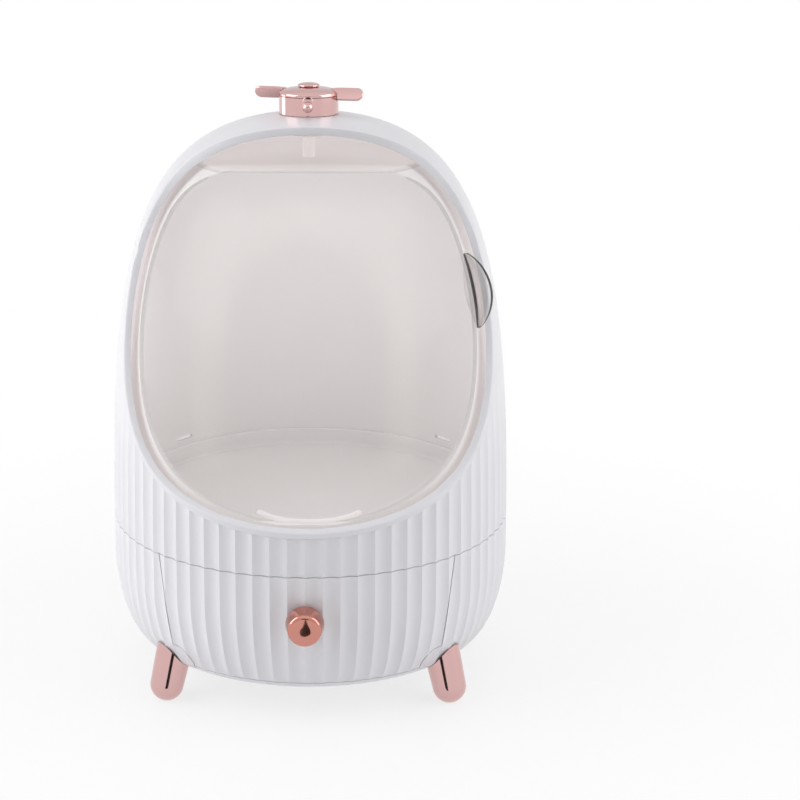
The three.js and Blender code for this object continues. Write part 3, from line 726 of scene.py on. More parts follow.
def flute_tree(material):
    """Hollows a round body into flutes wherever its points are marked for them"""
    number = "NodeSocketFloat"
    tree = Tree("Flutes", {
        "Count": ("NodeSocketInt", 76),
        "Depth": (number, 0.0011),
        "Foot Start": (number, 0.0235),
        "Foot End": (number, 0.0275),
        "Fade Start": (number, 0.118),
        "Fade End": (number, 0.186),
    })
    place = tree.node("GeometryNodeInputPosition")
    parts = tree.node("ShaderNodeSeparateXYZ", {}, {0: place}).node
    across, along, up = parts.outputs
    ahead = tree.math("SUBTRACT", AXIS_Y, along)
    turn = tree.math("DIVIDE", tree.math("ARCTAN2", across, ahead), 2 * math.pi)
    share = tree.math("FLOORED_MODULO", tree.math("MULTIPLY", turn, tree.given("Count")), 1.0)
    side = tree.math("MULTIPLY_ADD", share, 2.0, -1.0)
    hollow = tree.math("SUBTRACT", 1.0, tree.math("MULTIPLY", side, side))
    fades = []
    for low, high in (("Foot Start", "Foot End"), ("Fade Start", "Fade End")):
        fades.append(tree.node("ShaderNodeMapRange", {"interpolation_type": "SMOOTHSTEP"}, {
            "Value": up, "From Min": tree.given(low), "From Max": tree.given(high)}))
    level = tree.math("MULTIPLY", fades[0], tree.math("SUBTRACT", 1.0, fades[1]))
    marked = tree.node("GeometryNodeInputNamedAttribute", {"data_type": "FLOAT"}, {"Name": "flutes"})
    depth = tree.math("MULTIPLY", tree.given("Depth"), hollow)
    depth = tree.math("MULTIPLY", depth, tree.math("MULTIPLY", level, marked))
    inward = tree.node("ShaderNodeCombineXYZ", {}, {0: tree.math("MULTIPLY", across, -1.0), 1: ahead, 2: 0.0})
    inward = tree.node("ShaderNodeVectorMath", {"operation": "NORMALIZE"}, {0: inward})
    shift = tree.node("ShaderNodeVectorMath", {"operation": "SCALE"}, {0: inward, "Scale": depth})
    shaped = tree.node("GeometryNodeSetPosition", {}, {"Geometry": tree.given("Geometry"), "Offset": shift})
    tree.close(shaped, material)
    return tree


def fluted(obj, sizes):
    """Runs the flutes on an object whose points carry their mark"""
    tree = flute_tree(LOOKS["shell_white"])
    return tree.apply(obj, {"Count": sizes.flute_count, "Depth": sizes.flute_depth})


def ring_tree(material):
    """Sets copies of one piece round the upright axis at the angles held by the points"""
    tree = Tree("Ring of copies", {"Piece": ("NodeSocketObject", None)})
    copy = tree.node("GeometryNodeObjectInfo", {}, {"Object": tree.given("Piece")}, "Geometry")
    angle = tree.node("GeometryNodeInputNamedAttribute", {"data_type": "FLOAT"}, {"Name": "angle"})
    turn = tree.node("ShaderNodeCombineXYZ", {}, {0: 0.0, 1: 0.0, 2: angle})
    turn = tree.node("FunctionNodeEulerToRotation", {}, {0: turn})
    copies = tree.node("GeometryNodeInstanceOnPoints", {}, {
        "Points": tree.given("Geometry"), "Instance": copy, "Rotation": turn})
    tree.close(copies, material)
    return tree


# The upper shell


def shell_columns(rim, count):
    """Azimuths of the shell's columns: even round the body, and denser beside the rim's widest place"""
    step, beside, least = 0.0028, math.radians(12), 1.4e-4
    even = 2 * math.pi * np.arange(count) / count - math.pi
    columns = [angle for angle in even if abs(abs(angle) - rim.widest) > 3e-4]
    columns += [rim.widest, -rim.widest]
    for height in np.arange(0.120, 0.3125, step):
        angle = float(rim.angle(height))
        if rim.widest - angle > beside:
            continue
        for side in (-angle, angle):
            if min(abs(side - column) for column in columns) > least:
                columns.append(side)
    return np.array(sorted(columns))


def shell_sheet(outline, rim, angles, level, counts, band=None, lead=(), margin=0.0):
    """One face of the shell: rows under the rim's widest place, their flute marks, and the rows over it"""
    foot, widest_band, start_gap = rim.low(angles), 0.025, 0.0004
    rows, marks = [], []

    def add(height, flutes, inset=0.0):
        rows.append(round_points(angles, outline.radius(height) - inset, height))
        marks.append(np.broadcast_to(flutes, angles.shape))

    for height, inset in lead:
        add(height, 1.0, inset)
        level = height
    if band is None:
        for share in np.linspace(0, 1, counts[0]):
            add(level + (foot - level) * share, 0.0)
    else:
        edge = np.where(np.abs(angles) < band.widest, band.low(angles), 0.0)
        edge = np.maximum(edge, foot - widest_band)
        for share in np.linspace(0, 1, counts[0])[1:]:
            add(level + (edge - level) * share, 1.0)
        # The flutes end on the margin's line, and the rows beyond it are smooth.
        line = rim_line(margin)
        heights = [edge + (foot - edge) * share for share in np.linspace(0, 1, 6)[1:]]
        for height in [edge + start_gap] + heights:
            ahead = -np.interp(height, line[:, 1], line[:, 0])
            add(height, np.where(outline.radius(height) * np.cos(angles) > ahead - 1e-6, 0.0, 1.0))
    start, end = outline.length(rim.high(angles)), outline.length_at_radius(BORE)
    lengths = [start + (end - start) * share for share in np.linspace(0, 1, counts[1])]
    return rows, marks, [round_points(angles, *outline.at(length)) for length in lengths]


def loop_of(low_row, high_row, front):
    """Points or their numbers round the opening, along the low line and back along the high one"""
    return [low_row[i] for i in front] + [high_row[i] for i in front[-2:0:-1]]


def unit(rows):
    """Vectors, one a row, brought to length 1"""
    return rows / np.linalg.norm(rows, axis=1, keepdims=True)


def away(points, outline, centre):
    """Directions in the surface, square to the rim and pointing away from the opening"""
    along = unit(np.roll(points, -1, axis=0) - np.roll(points, 1, axis=0))
    radius = np.hypot(points[:, 0], points[:, 1] - AXIS_Y)
    length, step = outline.length(points[:, 2]), 2e-4
    steep = np.array(outline.at(length + step)) - np.array(outline.at(length - step))
    steep /= np.linalg.norm(steep, axis=0)
    out = np.column_stack((points[:, 0], points[:, 1] - AXIS_Y)) / radius[:, None]
    normal = np.column_stack((out * steep[1][:, None], -steep[0]))
    side = unit(np.cross(normal, along))
    side *= np.sign(np.sum(side * (points - centre), axis=1))[:, None]
    return side, along


class UPPER_OT_shell(bpy.types.Operator):
    """Builds the fluted upper shell with its rounded opening"""

    bl_idname = "organizer.upper_shell"
    bl_label = "Upper shell"

    def execute(self, context):
        sizes = context.scene.organizer_sizes
        outer, inner = Outline(0.0), Outline(WALL)
        rim, rim_in, band = Rim(outer), Rim(inner, lip=0.003), Rim(outer, sizes.flute_margin)
        angles = shell_columns(rim, sizes.flute_count * 6)
        size = np.abs(angles)
        wide, narrow = rim.widest, rim_in.widest
        beyond = narrow + (size - wide) * (math.pi - narrow) / (math.pi - wide)
        inside = np.where(size <= wide, size * narrow / wide, beyond) * np.sign(angles)
        level, edge = SEAM + SEAM_GAP / 2, sizes.edge_round
        lead = ((level, edge), (level + 0.3 * edge, 0.3 * edge), (level + edge, 0.0))
        sheets = (
            shell_sheet(outer, rim, angles, level, (14, 30), band, lead, sizes.flute_margin),
            shell_sheet(inner, rim_in, inside, level, (10, 20)),
        )
        front = [i for i, angle in enumerate(angles) if abs(angle) <= wide + 1e-9]
        cuts = [
            self.draw_back(sheets[0], outer, front, sizes.rim_round),
            self.draw_back(sheets[1], inner, front, sizes.rim_round * 0.7),
        ]
        body, flutes = Rows(), []

        def store(row, marks=None):
            """Adds a row with its flute marks and returns its numbers"""
            flutes.extend(np.zeros(len(row)) if marks is None else marks)
            return body.add(row)

        ends = []
        for (low, marks, high), way in zip(sheets, (1, -1)):
            lows = [store(row, row_marks) for row, row_marks in zip(low, marks)]
            first = list(lows[-1])
            for i, number in zip(front[1:-1], store([high[0][i] for i in front[1:-1]])):
                first[i] = number
            highs = [first] + [store(row) for row in high[1:]]
            body.join(lows, way=way)
            body.join(highs, way=way)
            ends.append((lows[0], loop_of(lows[-1], first, front), highs[-1]))
        (foot, loop, hole), (foot_in, loop_in, hole_in) = ends
        body.join((foot_in, foot))
        body.join((hole, hole_in))
        # The rounding goes from the outer sheet to the cut face, and from there to the inner sheet.
        link = cuts[1][0] - cuts[0][0]
        steps = ((link, (30, 60, 90)), (-link, (90, 60, 30)))
        loops = [loop]
        for (spots, side, along, radius), (way, turns) in zip(cuts, steps):
            across = unit(way - along * np.sum(way * along, axis=1)[:, None])
            for turn in np.radians(turns):
                drawn = spots + side * radius * (1 - math.sin(turn))
                loops.append(store(drawn + across * radius * (1 - math.cos(turn))))
        loops.append(loop_in)
        body.join(loops, way=-1)
        obj = body.made("shell_upper")
        height = np.array(body.points)[:, 2]
        # Painted shade: the rim's cut face is darkened towards the top, where it faces down and gets less
        # light.
        painted_rim_shade = np.zeros(len(height))
        for numbers in loops[1:-1]:
            painted_rim_shade[numbers] = 0.45 * np.clip((height[numbers] - 0.25) / 0.05, 0, 1)
        mark(obj, "edge", painted_rim_shade)
        mark(obj, "flutes", flutes)
        numbers = np.arange(len(height))
        # Painted glow on the shell's inner side, a little stronger near the top, in place of light in the gap
        # behind the door.
        inner_side = (numbers >= foot_in[0]) & (numbers < loops[1][0])
        mark(obj, "thin", inner_side * (1.8 + 0.05 * np.clip((height - 0.27) / 0.02, 0, 1)))
        fluted(obj, sizes)
        piece(obj, "case", "shell_white", replaces=("upper_shell",), angle=30.0)
        return {"FINISHED"}

    def draw_back(self, sheet, outline, front, radius):
        """Draws a sheet's cut points back from the rim, to leave its corner to the rounding"""
        low, high = sheet[0], sheet[2]
        opening = np.array((0.0, AXIS_Y - 0.085, 0.21))
        spots = np.array(loop_of(low[-1], high[0], front))
        side, along = away(spots, outline, opening)
        drawn = spots + side * radius
        for spot, i in zip(drawn, front):
            low[-1][i] = spot
        for spot, i in zip(drawn[len(front):], front[-2:0:-1]):
            high[0][i] = spot
        return spots, side, along, radius


# The bowl, its drawer front and the drawer


def fluted_bowl(name, sizes):
    """The closed fluted bowl under the seam, hollowed to its wall"""
    outer, inner = Outline(0.0), Outline(WALL)
    top, edge = SEAM - SEAM_GAP / 2, sizes.edge_round
    bend, floor_end = 0.0235, 0.030
    columns = sizes.flute_count * 6
    angles = 2 * math.pi * np.arange(columns) / columns
    # Rings from the underside's middle, up the outside and down the inside: radius, height and flutes.
    rings = [(radius, BASE, 0.0) for radius in np.linspace(0.012, 0.090, 6)]
    rings += [(*outer.at(length), 0.0) for length in np.linspace(0, outer.length(bend), 7)]
    heights = (0.0240, 0.0250, 0.0262, 0.0275, *np.linspace(floor_end, top - edge, 20))
    rings += [(outer.radius(height), height, 1.0) for height in heights]
    rings += [(outer.radius(top) - 0.3 * edge, top - 0.3 * edge, 1.0), (outer.radius(top) - edge, top, 1.0)]
    rings += [(inner.radius(height), height, 0.0) for height in np.linspace(top, floor_end, 16)]
    rings += [(*inner.at(length), 0.0) for length in np.linspace(inner.length(floor_end), 0, 8)[1:]]
    rings += [(radius, BASE + WALL, 0.0) for radius in np.linspace(0.085, 0.012, 5)]
    bowl = Rows()
    rows = [bowl.add(round_points(angles, radius, height)) for radius, height, _ in rings]
    bowl.join(rows, way=-1)
    bowl.close(rows[0], rows[-1])
    obj = bowl.made(name)
    mark(obj, "flutes", np.repeat([flutes for _, _, flutes in rings], columns))
    return fluted(obj, sizes)


def drawer_outline(clearance):
    """Front view of the drawer front, its lower corners hollowed round the feet"""
    level, round_foot, half_top, taper = BASE + 0.004, 0.0135, BODY_RADIUS - 0.0332, 0.0064
    reach, past = round_foot + clearance, 0.06
    offset = (FOOT_REACH - level * math.tan(FOOT_TILT)) * math.sin(math.radians(FOOT_TURNS[1]))
    lean = taper / (SEAM - level - round_foot)
    half = half_top + past * lean - clearance
    start = math.asin((BASE + 0.005 + clearance - level) / reach)
    stop = math.acos((offset - half_top + taper + clearance) / reach)
    left = [(-half, SEAM + past)] + arc_points(np.linspace(stop, start, 14), (-offset, level), reach)
    return left + [(-x, z) for x, z in reversed(left)]


class LOWER_OT_base(bpy.types.Operator):
    """Builds the fluted bowl with its drawer window, its foot bosses and its deck posts"""

    bl_idname = "organizer.lower_base"
    bl_label = "Lower base"

    def execute(self, context):
        sizes = context.scene.organizer_sizes
        bowl = fluted_bowl("shell_lower", sizes)
        window = front_prism("window", drawer_outline(0.0), AXIS_Y - 0.2, AXIS_Y)
        combine(bowl, window, "DIFFERENCE")
        piece(bowl, "case", "shell_white", replaces=("lower_base",), angle=30.0)
        rise = BASE + 0.0107
        down = (math.sin(FOOT_TILT), -math.cos(FOOT_TILT))
        self.pegs("foot_bosses", FOOT_REACH - rise * math.tan(FOOT_TILT), rise, down, FOOT_TURNS, 0.0075)
        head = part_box("deck")[0].z - FIT
        self.pegs("deck_posts", BODY_RADIUS - 0.0195, head, (0.0, -1.0), (-140, -65, 65, 140), 0.0045)
        return {"FINISHED"}

    def pegs(self, name, reach, rise, way, turns, radius):
        """Round pegs that rise from the bowl, each side line run down to the middle of the wall"""
        middle, floor = Outline(WALL / 2), BASE + WALL / 2
        centre, along, across = Vector((0, -reach, rise)), Vector((0, -way[0], way[1])), Vector((1, 0, 0))
        third = along.cross(across)

        def run(start):
            """Where a line from a start meets the middle of the wall"""
            near, far = 0.0, 0.2
            for _ in range(40):
                half = (near + far) / 2
                spot = start + along * half
                inside = spot.z > floor and math.hypot(spot.x, spot.y) < middle.radius(spot.z)
                near, far = (half, far) if inside else (near, half)
            return start + along * near

        around = 2 * math.pi * np.arange(48) / 48
        starts = [centre + (across * math.cos(angle) + third * math.sin(angle)) * radius for angle in around]
        shape = (starts, [run(start) for start in starts], [run(centre)])
        pegs = Rows()
        for turn in turns:
            place = round_axis(math.radians(turn))
            top, low, foot = [pegs.add([place @ spot for spot in row]) for row in shape]
            pegs.join((top, low))
            pegs.faces.append(tuple(top[::-1]))
            pegs.fan(low, foot[0])
        piece(outward(pegs.made(name)), "case", "shell_white", angle=40.0)


class DRAWER_OT_front(bpy.types.Operator):
    """Builds the fluted drawer front and its round knob"""

    bl_idname = "organizer.drawer_front"
    bl_label = "Drawer front and knob"

    def execute(self, context):
        sizes = context.scene.organizer_sizes
        front = fluted_bowl("drawer_face", sizes)
        window = front_prism("window", drawer_outline(0.0003), AXIS_Y - 0.2, AXIS_Y)
        combine(front, window, "INTERSECT")
        piece(front, "drawer", "shell_white", replaces=("drawer_front",), angle=30.0)
        low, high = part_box("drawer_knob")
        depth = high.y - low.y
        neck, rim = 0.006, 0.0103
        corners = [
            (0.0, 0.0), (neck, 0.0, 0.0), (neck, 0.0010, 0.0004), (0.0096, 0.0012, 0.0006),
            (rim, 0.0020, 0.0006), (rim, 0.0033, 0.0012), (0.0088, depth - 0.0012, 0.0012),
            (0.0074, depth - 0.0004, 0.0010), (0.0040, depth, 0.0030), (0.0, depth),
        ]
        knob = lathe("knob", filleted(corners, 6), 128)
        moved(knob, facing_front(high.y, (low.z + high.z) / 2))
        piece(knob, "drawer", "rose_knob", replaces=("drawer_knob",))
        return {"FINISHED"}


# The cabin


def liner_line():
    """Line of the liner's front edge in the side view"""
    back, shoulder = -0.030, 0.268
    low = ((-BODY_RADIUS, 0.1115), (-0.069, 0.136), (back, 0.162), (back, shoulder))
    high = ((back, shoulder), (back, 0.2865), (-0.046, 0.294))
    return np.vstack((bezier(low, np.linspace(0, 1, 60)), bezier(high, np.linspace(0, 1, 24))[1:]))


class CABIN_OT_liner(bpy.types.Operator):
    """Builds the cabin's smooth back wall with its flat roof and clip windows"""

    bl_idname = "organizer.liner"
    bl_label = "Liner"

    def execute(self, context):
        low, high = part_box("inner_liner")
        outer, inner = Outline(LINER_INSET), Outline(LINER_INSET + LINER_THICKNESS)
        roof, ceiling, cove = high.z, high.z - 0.0025, 0.004
        lengths = np.linspace(outer.length(low.z), outer.length(roof), 70)
        profile = [outer.at(length) for length in lengths] + [(0.0, roof), (0.0, ceiling)]
        middle = inner.radius(ceiling - cove) - cove
        for turn in np.linspace(0, math.pi / 2, 6):
            profile.append((middle + cove * math.sin(turn), ceiling - cove + cove * math.cos(turn)))
        lengths = np.linspace(inner.length(ceiling - cove), inner.length(low.z), 70)
        profile += [inner.at(length) for length in lengths[1:]]
        liner = on_axis(lathe("cabin_liner", profile, 256))
        line = liner_line()
        far, over = -0.2, 0.3015
        cut = [(far, line[0, 1] - 0.04), *line, (-0.0535, over), (far, over)]
        combine(liner, side_prism("cut", cut, 0.2), "DIFFERENCE")
        width, height = 0.0065, 0.0011
        slot = filleted([(-width, -height), (-width, height), (width, height), (width, -height)], 2)
        for turn in (-130, 130):
            window = front_prism("slot", slot, -0.14, -0.08)
            moved(window, round_axis(math.radians(turn), 0.110))
            combine(liner, window, "DIFFERENCE")
        self.marks(liner, roof, ceiling)
        piece(liner, "case", "liner_white", replaces=("inner_liner",), angle=32.0)
        return {"FINISHED"}

    def marks(self, liner, roof, ceiling):
        """Marks the painted glow, an emission in place of light, and the painted shade that darkens the cut
        front edge and the roof
        """
        middle = Outline(LINER_INSET + LINER_THICKNESS / 2)
        spots, radii = spots_of(liner)
        height = spots[:, 2]
        # Painted glow: strongest on the roof, less on the outer side and fading towards the top, least on the
        # inner side.
        outer_side = 0.9 - 0.5 * np.clip((height - 0.24) / 0.03, 0, 1)
        sides = np.where(radii > middle.radius(height), outer_side, 0.4)
        mark(liner, "thin", np.where(height > roof - 0.001, 1.35, sides))
        # Painted shade: the cut edges and the roof are darkened fully, and the faces above the ceiling
        # partly.
        spots = np.array([face.center for face in liner.data.polygons])
        height = spots[:, 2]
        off_middle = np.hypot(spots[:, 0], spots[:, 1] - AXIS_Y) - middle.radius(height)
        edge = (np.abs(off_middle) < 0.0007) | (height > roof - 0.001)
        mark(liner, "edge", np.where(edge, 1.0, np.where(height > ceiling + 0.0002, 0.6, 0.0)), "FACE")


class CABIN_OT_tray(bpy.types.Operator):
    """Builds the glossy floor tray with its round cove"""

    bl_idname = "organizer.tray"
    bl_label = "Floor tray"

    def execute(self, context):
        low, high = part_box("floor_tray")
        outer = Outline(LINER_INSET)
        inside = BODY_RADIUS - LINER_INSET - LINER_THICKNESS - FIT
        wall, floor, lip = inside - 0.0022, low.z + 0.003, high.z + 0.0025
        corners = [
            (0.0, low.z), (outer.radius(low.z), low.z, 0.0004), (outer.radius(high.z), high.z, 0.0005),
            (inside, high.z, 0.0), (inside, lip, 0.0009), (wall, lip, 0.0013), (wall, floor, 0.0028),
            (0.0, floor),
        ]
        tray = turned("cabin_tray", corners, 256, 12)
        radii = spots_of(tray)[1]
        # Painted glow: strongest on the outer step, more on the floor than on the wall and cove, so that the
        # floor looks lighter.
        inner_marks = np.where(radii < wall - 0.0035, 0.65, 0.35)
        mark(tray, "thin", np.where(radii > inside - 0.0001, 1.6, inner_marks))
        piece(tray, "case", "tray_white", replaces=("floor_tray",), angle=40.0)
        self.stop(floor)
        return {"FINISHED"}

    def stop(self, floor):
        """A low half-round stop on the floor, bowed to the front and faded at its ends"""
        half_turn, fade, reach, back, half, rise = 61, 5, 0.0333, 0.0122, 0.0026, 0.0019
        stop, rows = Rows(), []
        for turn in np.linspace(-half_turn, half_turn, 63):
            share = min(1.0, (half_turn - abs(turn)) / fade)
            size = max(0.02, math.sqrt(1 - (1 - share) ** 2)) * (1 + 0.2 * (turn / half_turn) ** 6)
            sides = np.linspace(0, math.pi, 13)
            ring = round_points(math.radians(turn), reach + half * size * np.cos(sides), 0.0)
            rows.append(stop.add(ring + [(0, -back, floor + rise * size * math.sin(side)) for side in sides]))
        stop.join(rows)
        stop.close(rows[0], rows[-1])
        obj = stop.made("tray_stop")
        # Painted highlight: the whole stop glows, in place of the light that its ridge catches.
        mark(obj, "thin", np.full(len(stop.points), 1.8))
        piece(obj, "case", "tray_white", angle=60.0)


class CABIN_OT_pivot(bpy.types.Operator):
    """Builds the pivot post between the liner's roof and the door"""

    bl_idname = "organizer.pivot"
    bl_label = "Pivot post"

    def execute(self, context):
        low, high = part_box("pivot_post")
        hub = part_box("door_hub")[0].z
        thick, pin, step = 0.0034, 0.0026, hub - FIT
        corners = [
            (0.0, low.z), (thick, low.z, 0.0003), (thick, step, 0.0004), (pin, step, 0.0),
            (pin, high.z, 0.0004), (0.0, high.z),
        ]
        post = turned("post", corners, 64)
        # Painted glow: the post glows, in place of light where it stands in shade.
        mark(post, "thin", np.full(len(post.data.vertices), 2.0))
        piece(post, "case", "liner_white", replaces=("pivot_post",))
        return {"FINISHED"}


# The door


class DOOR_OT_panel(bpy.types.Operator):
    """Builds the smoked clear door, its hub and its handle"""

    bl_idname = "organizer.door"
    bl_label = "Door"

    def execute(self, context):
        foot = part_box("door_panel")[0].z
        collar, bore = 0.0125, 0.0029
        left, right = (math.radians(angle) for angle in DOOR_ANGLES)
        sector = np.linspace(left, right, 120)
        rest = np.linspace(right, left + 2 * math.pi, 122)[1:-1]
        angles, wide = np.concatenate((sector, rest)), len(sector)
        panel, borders, bores = Rows(), [], []
        for inset, way in ((DOOR_INSET, 1), (DOOR_INSET + DOOR_THICKNESS, -1)):
            outline = Outline(inset)
            start, middle = outline.length(foot), outline.length_at_radius(collar)
            sheet = np.linspace(start, middle, 80)[:-1]
            sheet = [panel.add(round_points(sector, *outline.at(length))) for length in sheet]
            ring = np.linspace(middle, outline.length_at_radius(bore), 8)
            ring = [panel.add(round_points(angles, *outline.at(length))) for length in ring]
            panel.join(sheet + [ring[0][:wide]], False, way)
            panel.join(ring, way=way)
            border = sheet[0] + [row[-1] for row in sheet[1:]] + ring[0][wide - 1:] + [ring[0][0]]
            borders.append(border + [row[0] for row in sheet[:0:-1]])
            bores.append(ring[-1])
        panel.join(borders, way=-1)
        panel.join(bores)
        door = panel.made("door_glass")
        bevel = door.modifiers.new("Edge", "BEVEL")
        bevel.width, bevel.segments = 0.0004, 2
        bevel.limit_method, bevel.angle_limit = "ANGLE", math.radians(50)
        piece(baked(door), "door", "smoked_clear", replaces=("door_panel",))
        low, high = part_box("door_hub")
        corners = [
            (bore, low.z), (collar, low.z, 0.0006), (collar, high.z - 0.0018, 0.0003),
            (0.008, high.z - 0.0006, 0.001), (bore, high.z),
        ]
        hub = turned("door_disc", corners)
        piece(hub, "door", "liner_white", replaces=("door_hub",))
        self.handle()
        return {"FINISHED"}

    def handle(self):
        """The upright fin: a blade with a round edge, dark along its cut edges"""
        share, half, bulge, lead, thick = 0.374, 0.021, 0.011, 0.0045, 0.001
        curve = np.array(UPPER_CURVE)
        along = bezier(3 * np.diff(curve, axis=0), [share])[0]
        along /= np.linalg.norm(along)
        seat = bezier(curve, [share])[0] + DOOR_INSET * np.array((-along[1], along[0]))
        line = rim_line(0.0)
        ahead = lead - np.interp(seat[1] - half, line[:, 1], line[:, 0])
        azimuth = math.acos(ahead / seat[0])
        radius = (half * half + bulge * bulge) / (2 * bulge)
        spread = math.asin(half / radius)
        # Across the fin: share of the way out, half thickness and smoke.
        across = (
            (0.0, 1.0, 1.0), (0.075, 1.0, 1.0), (0.095, 1.0, 0.07), (0.26, 1.0, 0.08), (0.34, 0.98, 0.16),
            (0.62, 0.94, 0.20), (0.72, 0.92, 0.12), (0.77, 0.90, 0.03), (0.90, 0.86, 0.03), (0.92, 0.80, 1.0),
            (0.98, 0.55, 1.0), (1.0, 0.0, 1.0),
        )
        sink, bow = 0.0003, 0.16
        fin, smoke, sides = Rows(), [], []
        for face in (1, -1):
            sheet = []
            for turn in np.linspace(-spread, spread, 65)[1:-1]:
                length, rise = radius * math.sin(turn), bulge - radius + radius * math.cos(turn)
                root = -sink - 0.5 * length * length / bow
                spots = [(length, root + (rise - root) * out, face * thick * size) for out, size, _ in across]
                sheet.append(fin.add(spots))
                smoke += [1.0 if abs(turn) > spread - 0.05 else tone for _, _, tone in across]
            fin.join(sheet, False, face)
            sides.append(sheet)
        for end in (0, -1):
            fin.faces.append(tuple(sides[0][end] + sides[1][end][::-1]))
        fin.join([[row[0] for row in sheet] for sheet in sides], False)
        handle = fin.made("handle")
        mark(handle, "smoke", smoke)
        lengthways, out = Vector((0, -along[0], along[1])), Vector((0, -along[1], -along[0]))
        basis = Matrix((lengthways, out, lengthways.cross(out))).transposed().to_4x4()
        moved(handle, round_axis(azimuth) @ Matrix.Translation((0, -seat[0], seat[1])) @ basis)
        piece(outward(handle, 1e-6), "door", "smoked_grey", replaces=("door_handle",), angle=30.0)
        self.pad(seat[1], azimuth, half)

    def pad(self, level, azimuth, half):
        """The thin leaf that the fin stands on, laid on the door"""
        outline, widest, gap, thick = Outline(DOOR_INSET), 0.011, 0.00003, 0.0004
        # Across the leaf: share of its reach, rise and smoke.
        across = (
            (-0.3, 0.0, 0.0), (-0.3, thick, 0.0), (0.9, thick, 0.0), (0.96, 0.0003, 0.06), (1.0, 0.0, 0.06),
        )
        leaf, rows = Rows(), []
        heights = np.linspace(level - half, level + half, 41)
        for height in heights:
            reach = widest * max(0.02, 1 - ((height - level) / half) ** 2)
            base = outline.radius(height)
            spots = [(azimuth - reach * share / base, base + gap + rise) for share, rise, _ in across]
            rows.append(leaf.add([round_points(angle, radius, height) for angle, radius in spots]))
        leaf.join(rows)
        leaf.close(rows[0], rows[-1])
        obj = leaf.made("handle_leaf")
        mark(obj, "smoke", [tone for _, _, tone in across] * len(heights))
        piece(obj, "door", "smoked_grey", angle=60.0)


# Feet


class FEET_OT_ring(bpy.types.Operator):
    """Builds one round-tipped foot and sets it four times round the base"""

    bl_idname = "organizer.feet"
    bl_label = "Feet"

    def execute(self, context):
        tip, top = 0.0094, 0.0107
        sink, length = tip - 0.0005, (BASE + 0.0222) / math.cos(FOOT_TILT)
        turns, shares = np.linspace(0, math.pi / 2, 17)[1:], np.linspace(0, 1, 14)[1:]
        ball = [(tip * math.sin(turn), sink - tip * math.cos(turn)) for turn in turns]
        shank = [(tip + (top - tip) * share, sink + (length - sink) * share) for share in shares]
        foot = lathe("foot_shape", [(0.0, sink - tip), *ball, *shank, (0.0, length)], 96)
        moved(foot, Matrix.Translation((0, -FOOT_REACH, 0)) @ Matrix.Rotation(-FOOT_TILT, 4, "X"))
        body = moved(egg("body", -FIT, 256, 120), Matrix.Translation((0, -AXIS_Y, 0)))
        combine(foot, body, "DIFFERENCE")
        for vertex in foot.data.vertices:
            vertex.co.z = max(vertex.co.z, 0.0)
        feet = plain_mesh("feet", [(0, AXIS_Y, 0)] * len(FOOT_TURNS))
        mark(feet, "angle", [math.radians(turn) for turn in FOOT_TURNS])
        ring_tree(LOOKS["rose_metal"]).apply(feet, {"Piece": foot})
        bpy.data.objects.remove(foot)
        names = ("foot_front_left", "foot_front_right", "foot_rear_left", "foot_rear_right")
        piece(feet, "case", "rose_metal", replaces=names, angle=40.0)
        return {"FINISHED"}


# Crown ornament

HUB_RADIUS = 0.0164
BLADE_TURNS = (-15, 165)
BLADE_PITCH = 60
BLADE_THICKNESS = 0.0016


def paddle(level, turn, grown=0.0):
    """One pitched blade with a round tip, at its place on the ornament, grown by a clearance"""
    half, root, widest, tip, taper = 0.0037, 0.0124, 0.0180, 0.0309, 0.0005
    size = half + grown
    edge = [(root - grown, taper - size), (widest, -size)]
    edge += arc_points(np.linspace(-math.pi / 2, math.pi / 2, 25), (tip - half, 0.0), size)
    edge += [(widest, size), (root - grown, size - taper)]
    thick = BLADE_THICKNESS / 2 + grown
    blade = plate("blade", edge, -thick, thick, 0.0007)
    pitch = Matrix.Rotation(math.radians(BLADE_PITCH), 4, "X")
    return moved(blade, round_axis(math.radians(turn), level) @ pitch)


